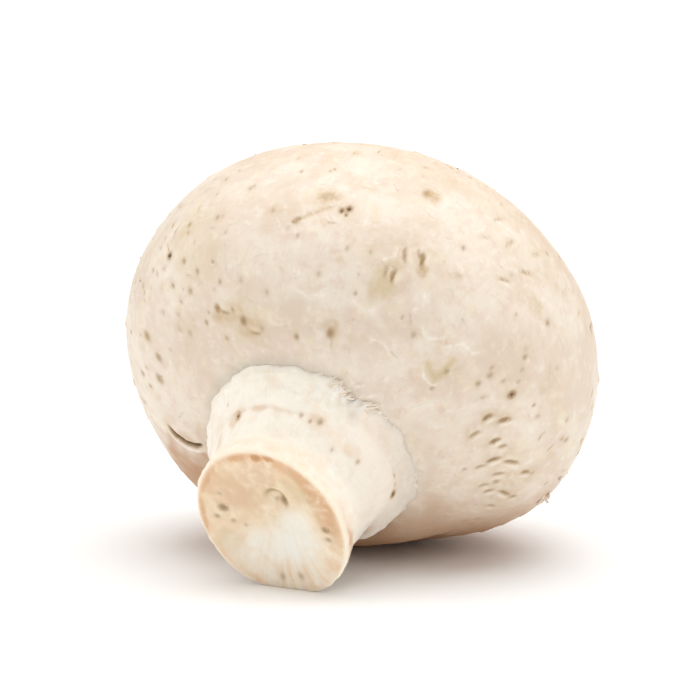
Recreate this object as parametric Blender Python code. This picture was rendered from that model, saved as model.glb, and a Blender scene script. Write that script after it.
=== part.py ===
"""Button mushroom, lying on the flank of its cap and the rim of its cut stem.

Cap, veil collar and stem are one piece of flesh, so the mushroom is one closed solid.  It
is turned about its own axis, crown up, from an outline of arcs.  Then it gets its uneven
natural shape, and last it is laid on the ground: Z up, the stem pointing along -Y.
"""

import math

import bmesh
import bpy
import numpy as np
from mathutils import Matrix

# Driving dimensions, in metres.  Heights run along the mushroom's own axis from the cap's
# widest ring, which is height 0: up to the crown and down to the cut end of the stem.
CAP_RADIUS = 0.0260
CAP_FLANK_RADIUS = 0.0245
CROWN_RISE = 0.0192
UNDERSIDE_DROP = 0.0176
CREASE_WIDTH = 0.0006
CREASE_DEPTH = 0.0006
COLLAR_RADIUS = 0.0113
COLLAR_HEIGHT = 0.0048
FOLD_RADIUS = 0.0094
FOLD_STEP = 0.0004
STEM_WAIST_RADIUS = 0.0087
STEM_LENGTH = 0.0279
CUT_RADIUS = 0.0089
RIM_ROUNDING = 0.0004
PIT_RADIUS = 0.0011
PIT_DEPTH = 0.0012
PIT_SHIFT = (0.0010, -0.0030)

# Fullness is the power of a superellipse: 2 is an ellipse, and more is squarer.
CROWN_FULLNESS = 2.19
UNDERSIDE_FULLNESS = 2.19

# The collar stands out in lobes: how many, how far, and where round the stem the first is.
COLLAR_LOBES = 3
LOBE_HEIGHT = 0.0004
LOBE_START = math.radians(20)

# The knife met the stem aslant: the cut face looks up from the ground, and to one side.
CUT_TILT_UP = math.radians(8)
CUT_TILT_SIDE = math.radians(7)

# Broad humps and hollows of the cap: direction from its centre, height, and angular reach.
# The first two make the broad flat that the cap lies on.
SWELLINGS = (
    ((0.26, 0.77, -0.48), -0.0029, 0.48),
    ((-0.31, 0.85, -0.17), -0.0009, 0.40),
    ((0.80, 0.50, -0.35), 0.0007, 0.55),
    ((-0.75, -0.55, 0.10), 0.0006, 0.50),
    ((0.45, -0.35, -0.80), -0.0008, 0.30),
    ((-0.60, 0.20, -0.75), 0.0005, 0.35),
    ((0.20, -0.40, 0.90), -0.0006, 0.45),
)

# How far the soft flesh gives where it bears on the ground.
BEDDING = 0.0004

STEPS_AROUND = 60
CROWN_STEPS = 13
UNDERSIDE_STEPS = 11
COLLAR_STEPS = 5
STEM_STEPS = 4
CUT_STEPS = 4

FLESH_COLOUR = (0.86, 0.77, 0.66, 1.0)
FLESH_ROUGHNESS = 0.62


def clear_scene():
    for obj in list(bpy.data.objects):
        bpy.data.objects.remove(obj)


def quarter_arc(radius, rise, fullness, start, end, steps):
    """Points of a superellipse quarter, as (distance from axis, height), between two
    angles measured from the widest ring."""
    power = 2 / fullness
    angles = np.linspace(start, end, steps + 1)
    return [
        (radius * math.cos(a) ** power, rise * math.sin(a) ** power) for a in angles
    ]


def crown_arc():
    """From just off the axis at the crown out to just above the widest ring."""
    step = 0.5 * math.pi / CROWN_STEPS
    return quarter_arc(
        CAP_RADIUS, CROWN_RISE, CROWN_FULLNESS, 0.5 * math.pi - step, step, CROWN_STEPS - 2
    )


def underside_arc():
    """From the widest ring in to the outer edge of the crease round the collar."""
    share = (COLLAR_RADIUS + CREASE_WIDTH) / CAP_RADIUS
    end = math.acos(share ** (UNDERSIDE_FULLNESS / 2))
    return quarter_arc(
        CAP_RADIUS, -UNDERSIDE_DROP, UNDERSIDE_FULLNESS, 0, end, UNDERSIDE_STEPS
    )


def collar_arc(crease_height):
    """The rounded collar: a quarter ellipse from the crease in to the fold."""
    width = COLLAR_RADIUS - FOLD_RADIUS
    angles = np.linspace(0, 0.5 * math.pi, COLLAR_STEPS + 1)
    return [
        (FOLD_RADIUS + width * math.cos(a), crease_height - COLLAR_HEIGHT * math.sin(a))
        for a in angles
    ]


def stem_line(top_height):
    """The stem's side, waisted under the collar and spreading to the cut, then its rim."""
    bottom = -STEM_LENGTH + RIM_ROUNDING
    shares = np.linspace(0, 1, STEM_STEPS + 1)
    spread = CUT_RADIUS - STEM_WAIST_RADIUS
    side = [
        (STEM_WAIST_RADIUS + spread * share**1.5, top_height + (bottom - top_height) * share)
        for share in shares
    ]
    return side + [(CUT_RADIUS - RIM_ROUNDING, -STEM_LENGTH)]


def cut_line():
    """The cut face, in from its rim, and the shallow pit at its middle."""
    radii = np.linspace(CUT_RADIUS - RIM_ROUNDING, PIT_RADIUS, CUT_STEPS + 1)[1:]
    face = [(radius, -STEM_LENGTH) for radius in radii]
    return face + [(0.6 * PIT_RADIUS, -STEM_LENGTH + 0.8 * PIT_DEPTH)]


def outline():
    """The whole outline, from the crown to the bottom of the pit, both on the axis."""
    underside = underside_arc()
    crease_height = underside[-1][1]
    crease = (COLLAR_RADIUS, crease_height + CREASE_DEPTH)
    collar = collar_arc(crease_height)
    stem_top = crease_height - COLLAR_HEIGHT + FOLD_STEP
    return (
        [(0, CROWN_RISE)]
        + crown_arc()
        + underside
        + [crease]
        + collar
        + stem_line(stem_top)
        + cut_line()
        + [(0, -STEM_LENGTH + PIT_DEPTH)]
    )


def turned(points):
    """The outline spun once about the axis, as a closed bmesh."""
    body = bmesh.new()
    ring = [body.verts.new((radius, 0, height)) for radius, height in points]
    for upper, lower in zip(ring, ring[1:]):
        body.edges.new((upper, lower))
    bmesh.ops.spin(
        body,
        geom=body.verts[:] + body.edges[:],
        cent=(0, 0, 0),
        axis=(0, 0, 1),
        angle=2 * math.pi,
        steps=STEPS_AROUND,
        use_merge=True,
    )
    bmesh.ops.remove_doubles(body, verts=body.verts[:], dist=1e-6)
    bmesh.ops.recalc_face_normals(body, faces=body.faces[:])
    return body


def smooth_share(value, start, end):
    """0 before start and 1 after end, easing in and out between them."""
    share = np.clip((value - start) / (end - start), 0, 1)
    return share * share * (3 - 2 * share)


def lobe_collar(points, collar_height):
    """Lets the collar stand out in lobes, most at its crease and fading down the stem."""
    radius = np.maximum(np.hypot(points[:, 0], points[:, 1]), 1e-9)
    angle = np.arctan2(points[:, 1], points[:, 0])
    near = np.exp(-(((points[:, 2] - collar_height) / COLLAR_HEIGHT) ** 2))
    lobes = np.cos(COLLAR_LOBES * (angle - LOBE_START))
    points[:, :2] *= (1 + LOBE_HEIGHT * lobes * near / radius)[:, None]


def swell_cap(points, collar_height):
    """Each swelling is a bell-shaped hump, or hollow, along the line from the centre."""
    distance = np.linalg.norm(points, axis=1)
    heading = points / np.maximum(distance, 1e-9)[:, None]
    on_cap = smooth_share(points[:, 2], collar_height, 0.7 * collar_height)
    for direction, height, reach in SWELLINGS:
        towards = np.array(direction) / np.linalg.norm(direction)
        away = np.arccos(np.clip(heading @ towards, -1, 1))
        hump = height * np.exp(-((away / reach) ** 2)) * on_cap
        points += heading * hump[:, None]


def flatten_flanks(points, collar_height):
    """Makes the cap a little oval: narrower the way that faces the ground."""
    on_cap = smooth_share(points[:, 2], collar_height, 0)
    points[:, 1] *= 1 + (CAP_FLANK_RADIUS / CAP_RADIUS - 1) * on_cap


def shift_pit(points):
    """Slides the middle of the cut face aside, with the pit, and leaves its rim."""
    radius = np.hypot(points[:, 0], points[:, 1])
    on_face = points[:, 2] < -STEM_LENGTH + 1.01 * PIT_DEPTH
    inner = 1 - smooth_share(radius, PIT_RADIUS, CUT_RADIUS - RIM_ROUNDING)
    points[:, :2] += (on_face * inner)[:, None] * np.array(PIT_SHIFT)


def slant_cut(points, stem_top):
    """Shears the stem's lower end so that its cut face is tilted."""
    share = smooth_share(points[:, 2], stem_top, -STEM_LENGTH)
    drop = math.tan(CUT_TILT_UP) * points[:, 1] + math.tan(CUT_TILT_SIDE) * points[:, 0]
    points[:, 2] -= share * drop


def shape_naturally(points):
    """Takes the turned points and returns them with the mushroom's own unevenness."""
    collar_height = underside_arc()[-1][1]
    fold_height = collar_height - COLLAR_HEIGHT
    lobe_collar(points, collar_height)
    swell_cap(points, collar_height)
    flatten_flanks(points, collar_height)
    shift_pit(points)
    slant_cut(points, fold_height)
    return points


def laid_over(points, dip):
    """The points turned so that the stem points along -Y, dipping below level."""
    turn = Matrix.Rotation(dip - 0.5 * math.pi, 3, "X")
    return points @ np.array(turn).T


def dip_at_rest(points):
    """The dip at which the cap and the stem's rim reach the ground together."""
    on_stem = points[:, 2] < -0.5 * (UNDERSIDE_DROP + STEM_LENGTH)
    low, high = math.radians(10), math.radians(60)
    for _ in range(40):
        dip = 0.5 * (low + high)
        heights = laid_over(points, dip)[:, 2]
        if heights[on_stem].min() > heights[~on_stem].min():
            low = dip
        else:
            high = dip
    return dip


def lay_on_ground(points):
    """Lays the mushroom down, pressed into contact, over the middle of its own box."""
    points = laid_over(points, dip_at_rest(points))
    points[:, 2] -= points[:, 2].min() + BEDDING
    points[:, 2] = np.maximum(points[:, 2], 0)
    points[:, :2] -= 0.5 * (points[:, :2].min(axis=0) + points[:, :2].max(axis=0))
    return points


def flesh_material():
    material = bpy.data.materials.new("mushroom_flesh")
    material.use_nodes = True
    shader = material.node_tree.nodes["Principled BSDF"]
    shader.inputs["Base Color"].default_value = FLESH_COLOUR
    shader.inputs["Roughness"].default_value = FLESH_ROUGHNESS
    shader.inputs["Metallic"].default_value = 0.0
    return material


def build_mushroom():
    body = turned(outline())
    mesh = bpy.data.meshes.new("mushroom")
    body.to_mesh(mesh)
    body.free()
    points = np.array([vertex.co for vertex in mesh.vertices])
    points = lay_on_ground(shape_naturally(points))
    mesh.vertices.foreach_set("co", points.astype(np.float32).ravel())
    mesh.shade_smooth()
    mesh.set_sharp_from_angle(angle=math.radians(50))
    mesh.materials.append(flesh_material())
    mushroom = bpy.data.objects.new("mushroom", mesh)
    bpy.context.scene.collection.objects.link(mushroom)


clear_scene()
build_mushroom()
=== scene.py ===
"""The looks of a button mushroom that lies on the flank of its cap and the rim of its stem.

Its pieces are the cap's skin, the collar and stem with the cut face, crumbs of growing peat,
fibrous scales of torn skin, the torn veil's threads round the collar, and small white
shreds on the right flank.

They are worked out in the mushroom's own frame, in millimetres: the axis is Z, the crown is
up, and a place is given by its bearing round the axis and its slope from the cap's widest
ring (90 at the crown, 0 at the widest ring, below 0 on the underside), both in degrees.
Bearing -90 is the side that faces the sky once the mushroom is laid down, and 90 faces the
ground.
"""

import math

import bpy
import numpy as np
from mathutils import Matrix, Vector


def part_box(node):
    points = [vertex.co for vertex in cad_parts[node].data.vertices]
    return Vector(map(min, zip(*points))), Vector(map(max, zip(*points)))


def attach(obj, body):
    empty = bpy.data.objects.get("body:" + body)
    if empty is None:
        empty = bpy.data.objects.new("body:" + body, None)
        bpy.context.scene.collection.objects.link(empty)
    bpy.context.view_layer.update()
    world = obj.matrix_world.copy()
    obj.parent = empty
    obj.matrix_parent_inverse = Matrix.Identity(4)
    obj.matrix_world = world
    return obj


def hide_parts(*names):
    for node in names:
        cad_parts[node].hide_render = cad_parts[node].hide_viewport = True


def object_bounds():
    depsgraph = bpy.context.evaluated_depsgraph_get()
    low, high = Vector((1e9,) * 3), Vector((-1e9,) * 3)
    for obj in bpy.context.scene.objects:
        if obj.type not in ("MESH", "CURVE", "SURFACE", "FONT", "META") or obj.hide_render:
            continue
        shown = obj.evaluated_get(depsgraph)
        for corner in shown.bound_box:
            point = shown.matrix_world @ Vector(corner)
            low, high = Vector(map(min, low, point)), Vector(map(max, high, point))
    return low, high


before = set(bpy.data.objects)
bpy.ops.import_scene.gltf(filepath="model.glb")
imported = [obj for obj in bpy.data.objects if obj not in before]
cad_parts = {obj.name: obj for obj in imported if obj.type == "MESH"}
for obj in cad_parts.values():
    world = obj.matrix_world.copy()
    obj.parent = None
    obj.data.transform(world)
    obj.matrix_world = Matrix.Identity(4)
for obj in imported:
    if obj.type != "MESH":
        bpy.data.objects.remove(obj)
cad_low, cad_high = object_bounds()

MM = 0.001

# The mushroom's sizes, in millimetres, as the solid has them.
CAP_RADIUS = 26.0
CAP_FLANK_RADIUS = 24.5
CROWN_RISE = 19.2
UNDERSIDE_DROP = 17.6
CROWN_FULLNESS = 2.19
UNDERSIDE_FULLNESS = 2.19
COLLAR_EDGE_RADIUS = 11.9
COLLAR_HEIGHT = 4.8
CREASE_HEIGHT = -15.95
FOLD_HEIGHT = CREASE_HEIGHT - COLLAR_HEIGHT
CUT_RADIUS = 8.9
RIM_ROUNDING = 0.4
STEM_LENGTH = 27.9
PIT_RADIUS = 1.1
PIT_ROOM = 1.5
PIT_SHIFT = (1.0, -3.0)
COLLAR_LOBES = 3
LOBE_HEIGHT = 0.4
LOBE_START = math.radians(20)
LOBE_INNER_RADIUS = 6
CUT_TILT_UP = math.radians(8)
CUT_TILT_SIDE = math.radians(7)
SWELLINGS = (
    ((0.26, 0.77, -0.48), -2.9, 0.48),
    ((-0.31, 0.85, -0.17), -0.9, 0.40),
    ((0.80, 0.50, -0.35), 0.7, 0.55),
    ((-0.75, -0.55, 0.10), 0.6, 0.50),
    ((0.45, -0.35, -0.80), -0.8, 0.30),
    ((-0.60, 0.20, -0.75), 0.5, 0.35),
    ((0.20, -0.40, 0.90), -0.6, 0.45),
)
STEM_DIP = math.radians(30.07)

# The ground flattens the skin: by how much, how softly, and up to which height.
BEDDING = 0.4
GROUND_SOFTNESS = 0.80
DROP_FADE = 2
GROUND_REACH = 12

# The random lattice behind the grain: its cells each way, and what brings its height to 1.
NOISE_CELLS = 32
NOISE_GAIN = 1.6

# How finely the pieces are drawn.
CAP_ROWS, CAP_COLUMNS = 212, 466
STEM_ROWS, STEM_COLUMNS = 214, 440
SPINDLE_RINGS, SPINDLE_COLUMNS = 5, 6
SPINDLE_SHARES = np.linspace(0.12, 0.94, SPINDLE_RINGS)
SPINDLE_ROOT = 0.02
STRAND_SINK = 0.03
LUMP_RINGS, LUMP_COLUMNS = 4, 7
LUMP_RING_SLOPES = np.radians([54, 18, -18, -54])

# Where columns are crowded together round the axis: bearing, width, strength.
CAP_CROWDS = ((175, 7, 1.5), (8, 22, 0.5), (-60, 40, 0.2))
STEM_CROWDS = ((-60, 90, 0.3),)

# The circle on which fibres are counted round the axis, and how far a fine line is felt.
FIBRE_CIRCLE = 10
LINE_REACH = 1.2

# What is strewn over the skins.
SCALE_COUNT = 330
CREASE_COUNT = 190
FLAKE_COUNT = 340
THREAD_COUNT = 150
TUFT_COUNT = 64
SPECK_PATCHES = (  # bearing, spread, lowest and highest slope, count
    (-135, 16, -38, 8, 42),
    (-95, 14, -45, 5, 12),
    (-40, 25, -38, 5, 8),
    (0, 16, -38, 0, 7),
    (95, 45, -40, 40, 90),
    (0, 130, 10, 75, 110),
)
CAP_SPECK_STRENGTH = 1.05
# Crumbs sit in the specks that are this dark, on the cap and on the collar, and in patches.
CRUMB_DARKNESS, CRUMB_DARKNESS_BELOW = 0.75, 0.6
CRUMB_PATCHES = (  # bearing, spread, lowest and highest slope, count
    (-150, 10, -20, 10, 3),
    (95, 50, -20, 35, 20),
    (0, 130, 20, 70, 18),
)
SHREDS = (  # bearing, slope, turn, rise, (long, wide, thick)
    (25, -9, 20, 50, (0.38, 0.20, 0.12)),
    (26, -10.5, 200, 25, (0.34, 0.26, 0.12)),
    (31, -12.5, 185, 55, (0.45, 0.30, 0.15)),
    (32, -13.5, 165, 80, (0.55, 0.26, 0.14)),
    (33, -15, 200, 35, (0.40, 0.30, 0.14)),
    (30.5, -14.5, 120, 20, (0.32, 0.24, 0.12)),
)


# ---------------------------------------------------------------- plain mathematics


def ease(value, start, end):
    """0 before start and 1 after end, with a smooth S between them."""
    share = np.clip((value - start) / (end - start), 0, 1)
    return share * share * (3 - 2 * share)


def faded_ends(share, first, last):
    """1 along a line, easing to 0 over the first and the last share of its length."""
    return ease(share, 0, first) * ease(share, 1, 1 - last)


def bell(value, width):
    """A bell curve: 1 at 0, falling away over the width."""
    return np.exp(-((value / width) ** 2))


def turn_between(bearing, centre):
    """The angle in degrees from a centre bearing, between -180 and 180."""
    return (np.degrees(bearing) - centre + 180) % 360 - 180


def grain(points, size, seed):
    """Gradient noise, about -1 to 1.  Each corner of a lattice of cubes has a random slope;
    a point takes the height that each corner's slope gives there, blended by nearness."""
    chance = np.random.default_rng(seed)
    slopes = chance.normal(size=(NOISE_CELLS, NOISE_CELLS, NOISE_CELLS, 3))
    slopes /= np.linalg.norm(slopes, axis=-1, keepdims=True)
    place = points / size + chance.uniform(0, NOISE_CELLS, 3)
    corner = np.floor(place).astype(int)
    inside = place - corner
    fade = inside**3 * (inside * (6 * inside - 15) + 10)
    height = np.zeros(points.shape[:-1])
    for step in np.ndindex(2, 2, 2):
        at = (corner + step) % NOISE_CELLS
        slope = slopes[at[..., 0], at[..., 1], at[..., 2]]
        weight = np.prod(np.where(step, fade, 1 - fade), axis=-1)
        height += weight * np.sum(slope * (inside - step), axis=-1)
    return NOISE_GAIN * height


def layered_grain(points, size, seed, layers=3):
    """Grain of one size plus half as much of half the size, and so on."""
    return sum(0.5**k * grain(points, size * 0.5**k, seed + k) for k in range(layers))


def streaks(bearing, along, count, length, seed):
    """Grain drawn out along the axis: about `count` streaks round, each `length` long."""
    reach = count / (2 * math.pi)
    points = np.stack(
        [reach * np.cos(bearing), reach * np.sin(bearing), along / length], axis=-1
    )
    return grain(points, 1.0, seed)


def smooth_line(points, steps):
    """A curve through the given points: between two points, a cubic whose slope at each is
    half the way from the point before to the point after."""
    points = np.array(points, float)
    first, last = 2 * points[0] - points[1], 2 * points[-1] - points[-2]
    p = np.vstack([first, points, last])
    t = np.linspace(0, 1, steps, endpoint=False)[None, :, None]
    a, b, c, d = (p[k : len(p) - 3 + k, None, :] for k in range(4))
    curve = 0.5 * (
        2 * b
        + (c - a) * t
        + (2 * a - 5 * b + 4 * c - d) * t**2
        + (3 * b - a - 3 * c + d) * t**3
    )
    return np.vstack([curve.reshape(-1, points.shape[1]), points[-1:]])


def respaced(line, count, crowding):
    """The line with `count` points, closer together where crowding(radius, height) is high.
    Returns the points and their distances along the line."""
    gaps = np.linalg.norm(np.diff(line, axis=0), axis=1)
    along = np.concatenate([[0], np.cumsum(gaps)])
    middle = 0.5 * (line[1:] + line[:-1])
    density = np.concatenate([[0], np.cumsum(crowding(*middle.T) * gaps)])
    at = np.interp(np.linspace(0, density[-1], count), density, along)
    return np.stack([np.interp(at, along, line[:, k]) for k in range(2)], axis=-1), at


def crowded_bearings(count, places):
    """`count` bearings round the circle, crowded near each (bearing, width, strength)."""
    fine = np.linspace(-math.pi, math.pi, 4001)
    density = np.ones_like(fine)
    for centre, width, strength in places:
        density += strength * bell(turn_between(fine, centre), width)
    total = np.concatenate([[0], np.cumsum(0.5 * (density[1:] + density[:-1]))])
    return np.interp(np.arange(count) * total[-1] / count, total, fine)


def carried_round(bearings, *columns):
    """Grids of the bearing and of each column of numbers, with rows down the mushroom and
    columns round it."""
    grids = [np.meshgrid(column, bearings, indexing="ij") for column in columns]
    return grids[0][1], *(grid[0] for grid in grids)


def fibre_grid(bearing, along):
    """Coordinates for fibres that run down the mushroom: the bearing as a place on a circle
    of fixed size, and the distance along the outline."""
    round_axis = FIBRE_CIRCLE * np.cos(bearing), FIBRE_CIRCLE * np.sin(bearing)
    return np.stack([*round_axis, along], axis=-1)


# ---------------------------------------------------------------- the mushroom's form


def superellipse(radius, rise, fullness, angle):
    """Radius times cos(angle), height times sin(angle), each to the power 2 / fullness."""
    power = 2 / fullness
    return np.stack(
        [radius * np.cos(angle) ** power, rise * np.sin(angle) ** power], axis=-1
    )


def grown(radius, height, bearing):
    """Turns (radius, height) round by the bearing, then gives the mushroom's own shape: the
    collar's lobes, the swellings along lines from the centre, the narrower flanks, the pit's
    shift across the cut face, and the aslant cut as a shear that grows down the stem."""
    lobes = np.cos(COLLAR_LOBES * (bearing - LOBE_START))
    near = bell(height - CREASE_HEIGHT, COLLAR_HEIGHT)
    radius = radius + LOBE_HEIGHT * lobes * near * ease(radius, 0, LOBE_INNER_RADIUS)
    points = np.stack([radius * np.cos(bearing), radius * np.sin(bearing), height], -1)
    distance = np.linalg.norm(points, axis=-1, keepdims=True)
    heading = points / np.maximum(distance, 1e-9)
    on_cap = ease(points[..., 2], CREASE_HEIGHT, 0.7 * CREASE_HEIGHT)
    for direction, swell, reach in SWELLINGS:
        towards = np.array(direction) / np.linalg.norm(direction)
        away = np.arccos(np.clip(heading @ towards, -1, 1))
        points = points + heading * (swell * bell(away, reach) * on_cap)[..., None]
    oval = ease(points[..., 2], CREASE_HEIGHT, 0)
    points[..., 1] *= 1 + (CAP_FLANK_RADIUS / CAP_RADIUS - 1) * oval
    on_face = points[..., 2] < -STEM_LENGTH + PIT_ROOM
    from_axis = np.hypot(points[..., 0], points[..., 1])
    inner = 1 - ease(from_axis, PIT_RADIUS, CUT_RADIUS - RIM_ROUNDING)
    points[..., :2] += (on_face * inner)[..., None] * np.array(PIT_SHIFT)
    share = ease(points[..., 2], FOLD_HEIGHT, -STEM_LENGTH)
    drop = math.tan(CUT_TILT_UP) * points[..., 1] + math.tan(CUT_TILT_SIDE) * points[..., 0]
    points[..., 2] -= share * drop
    return points


def outward_normals(points, row):
    """Unit normals of a grid: the cross product of the differences down and round, which
    wrap round the columns, turned to point away from the axis at the given row."""
    down = np.gradient(points, axis=0)
    around = 0.5 * (np.roll(points, -1, axis=1) - np.roll(points, 1, axis=1))
    normal = np.cross(down, around)
    normal /= np.maximum(np.linalg.norm(normal, axis=-1, keepdims=True), 1e-12)
    return normal * np.sign(np.sum(normal[row, :, :2] * points[row, :, :2]))


def laid_down(points):
    """Turns the mushroom about X so that the stem points along -Y and dips."""
    turn = STEM_DIP - 0.5 * math.pi
    c, s = math.cos(turn), math.sin(turn)
    y, z = points[..., 1], points[..., 2]
    return np.stack([points[..., 0], c * y - s * z, s * y + c * z], axis=-1)


def rest_shift():
    """How far the laid mushroom moves to fill the solid's box: centred, with its top level
    with the box's top."""
    angle = np.linspace(0.5 * math.pi, 0, 200)
    crown = superellipse(CAP_RADIUS, CROWN_RISE, CROWN_FULLNESS, angle)
    under = superellipse(CAP_RADIUS, -UNDERSIDE_DROP, UNDERSIDE_FULLNESS, angle[::-1])
    rim = (CUT_RADIUS, -STEM_LENGTH + RIM_ROUNDING), (CUT_RADIUS - RIM_ROUNDING, -STEM_LENGTH)
    line = np.vstack([crown, under[under[:, 0] > COLLAR_EDGE_RADIUS], rim])
    b, r, z = carried_round(np.linspace(0, 2 * math.pi, 241), *line.T)
    points = laid_down(grown(r, z, b)).reshape(-1, 3)
    low, high = points.min(axis=0), points.max(axis=0)
    box_low, box_high = (np.array(corner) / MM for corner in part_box("mushroom"))
    centre = 0.5 * (box_low + box_high) - 0.5 * (low + high)
    return np.array([centre[0], centre[1], box_high[2] - high[2]])


REST_SHIFT = rest_shift()


def at_rest(points):
    """The finished place, in metres, of points in the mushroom's own frame: laid down,
    shifted, and softly flattened where they would sink into the ground.  There the height z
    turns into half the sum of z and the root of z squared plus the softness squared, less a
    small drop that fades out upwards, so that the lowest points touch the ground."""
    placed = laid_down(points) + REST_SHIFT
    height = placed[..., 2]
    soft = 0.5 * (height + np.sqrt(height**2 + GROUND_SOFTNESS**2))
    lowest = 0.5 * (np.hypot(BEDDING, GROUND_SOFTNESS) - BEDDING)
    soft -= lowest * np.exp(-np.maximum(height, -BEDDING) / DROP_FADE)
    placed[..., 2] = np.where(height < GROUND_REACH, np.maximum(soft, 0), height)
    return placed * MM


# ---------------------------------------------------------------- skins and meshes


class Skin:
    """A grid of points (rows down the mushroom, columns round it) with its normals, its
    fibres' coordinates, the relief that is added along the normals, and masks that carry
    colour to the material."""

    def __init__(self, plain, normal, fibre, masks):
        self.plain = plain
        self.normal = normal
        self.fibre = fibre
        self.relief = np.zeros(plain.shape[:2])
        self.masks = {name: np.zeros(plain.shape[:2]) for name in masks}
        distance = np.linalg.norm(plain, axis=-1, keepdims=True)
        self.heading = plain / np.maximum(distance, 1e-9)

    def towards(self, bearing, slope):
        """The grid place nearest the ray with this bearing and slope, in degrees."""
        b, s = math.radians(bearing), math.radians(slope)
        ray = (math.cos(s) * math.cos(b), math.cos(s) * math.sin(b), math.sin(s))
        near = self.heading @ np.array(ray)
        return np.unravel_index(np.argmax(near), near.shape)

    def around(self, bearing, height, radius):
        """The grid place nearest the point at this bearing, height and radius."""
        b = math.radians(bearing)
        at = np.array([radius * math.cos(b), radius * math.sin(b), height])
        gap = np.sum((self.plain - at) ** 2, axis=-1)
        return np.unravel_index(np.argmin(gap), gap.shape)

    def spot_towards(self, place, reach, turn=0.0):
        """The spot at a (bearing, slope)."""
        return Spot(self, self.towards(*place), reach, turn)

    def spot_around(self, place, reach):
        """The spot at a (bearing, height, radius)."""
        return Spot(self, self.around(*place), reach)

    def finished(self):
        """All the points, with the relief added."""
        return self.plain + self.normal * self.relief[..., None]

    def finished_at(self, at):
        """The point at a grid place, with the relief added."""
        return self.plain[at] + self.normal[at] * self.relief[at]

    def axes(self, at, turn=0.0):
        """At a grid place: the way round the mushroom, the way up it, and outwards.  The first
        two are turned against the clock, as seen from outside, by an angle in degrees."""
        x, y, _ = self.plain[at]
        normal = self.normal[at]
        east = np.array([-y, x, 0.0])
        east -= normal * (east @ normal)
        east /= np.linalg.norm(east)
        north = np.cross(normal, east)
        c, s = math.cos(math.radians(turn)), math.sin(math.radians(turn))
        return c * east + s * north, c * north - s * east, normal


class Spot:
    """A patch of a skin laid flat: x runs round the mushroom and y up it, in millimetres
    from the patch's middle, turned by an angle.  What is added fades out at the reach, and
    where the skin turns away."""

    def __init__(self, skin, at, reach, turn=0.0):
        self.skin = skin
        self.right, self.up, normal = skin.axes(at, turn)
        self.centre = skin.plain[at]
        column = skin.plain[:, at[1]] - self.centre
        rows = np.nonzero(np.linalg.norm(column, axis=-1) < 1.3 * reach)[0]
        self.rows = slice(rows.min(), rows.max() + 1)
        offset = skin.plain[self.rows] - self.centre
        self.x = offset @ self.right
        self.y = offset @ self.up
        facing = skin.normal[self.rows] @ normal
        self.fade = 1 - ease(np.linalg.norm(offset, axis=-1), 0.7 * reach, reach)
        self.fade *= ease(facing, 0.30, 0.75)

    def raise_by(self, height):
        """Adds to the relief."""
        self.skin.relief[self.rows] += height * self.fade

    def tint(self, name, amount):
        """Raises a mask to an amount where it is lower."""
        mask = self.skin.masks[name]
        mask[self.rows] = np.maximum(mask[self.rows], amount * self.fade)

    def flat(self, at):
        """(x, y) of another grid place."""
        offset = self.skin.plain[at] - self.centre
        return offset @ self.right, offset @ self.up

    def to_line(self, path):
        """Distance from a crooked line of (x, y) points, and the share along the line."""
        path = np.array(path, float)
        best = np.full(self.x.shape, 1e9)
        share = np.zeros(self.x.shape)
        lengths = np.linalg.norm(np.diff(path, axis=0), axis=1)
        starts = np.concatenate([[0], np.cumsum(lengths)])
        for k, (start, end) in enumerate(zip(path, path[1:])):
            way = end - start
            dx, dy = self.x - start[0], self.y - start[1]
            t = np.clip((dx * way[0] + dy * way[1]) / (way @ way), 0, 1)
            gap = np.hypot(dx - t * way[0], dy - t * way[1])
            closer = gap < best
            best = np.where(closer, gap, best)
            share = np.where(closer, (starts[k] + t * lengths[k]) / starts[-1], share)
        return best, share


def fill_mesh(mesh, points, corners, sizes):
    """Puts points and faces into an empty mesh; faces are runs of corners of given sizes."""
    mesh.vertices.add(len(points))
    mesh.vertices.foreach_set("co", points.astype(np.float32).ravel())
    mesh.loops.add(len(corners))
    mesh.loops.foreach_set("vertex_index", corners.astype(np.int32))
    mesh.polygons.add(len(sizes))
    starts = np.concatenate([[0], np.cumsum(sizes)[:-1]])
    mesh.polygons.foreach_set("loop_start", starts.astype(np.int32))
    mesh.update(calc_edges=True)
    mesh.shade_smooth()


def tube_faces(rings, columns):
    """Corners and sizes of a closed tube: a pole, rings of columns, and a pole."""
    ring = np.arange(columns)
    after = (ring + 1) % columns
    start = 1 + np.arange(rings - 1)[:, None] * columns
    quads = np.stack(
        [start + ring, start + columns + ring, start + columns + after, start + after], -1
    ).reshape(-1, 4)
    last = 1 + (rings - 1) * columns
    first = np.stack([np.zeros(columns, int), 1 + ring, 1 + after], -1)
    final = np.stack([np.full(columns, last + columns), last + after, last + ring], -1)
    corners = np.concatenate([quads.ravel(), first.ravel(), final.ravel()])
    sizes = np.concatenate([np.full(len(quads), 4), np.full(2 * columns, 3)])
    return corners, sizes


def skin_mesh(name, skin):
    """A closed skin: the first and last rows are single points, and the columns wrap round.
    The masks and the fibres' coordinates are stored on the points."""
    rows, columns = skin.relief.shape

    def on_points(grid):
        """The grid's values as a list, with one value for each pole."""
        flat = grid[1:-1].reshape((-1,) + grid.shape[2:])
        return np.concatenate([grid[:1, 0], flat, grid[-1:, 0]])

    mesh = bpy.data.meshes.new(name)
    fill_mesh(mesh, at_rest(on_points(skin.finished())), *tube_faces(rows - 2, columns))
    for key, grid in skin.masks.items():
        attribute = mesh.attributes.new(key, "FLOAT", "POINT")
        attribute.data.foreach_set("value", on_points(grid).astype(np.float32))
    attribute = mesh.attributes.new("fibre", "FLOAT_VECTOR", "POINT")
    attribute.data.foreach_set("vector", on_points(skin.fibre).astype(np.float32).ravel())
    return mesh


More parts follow.
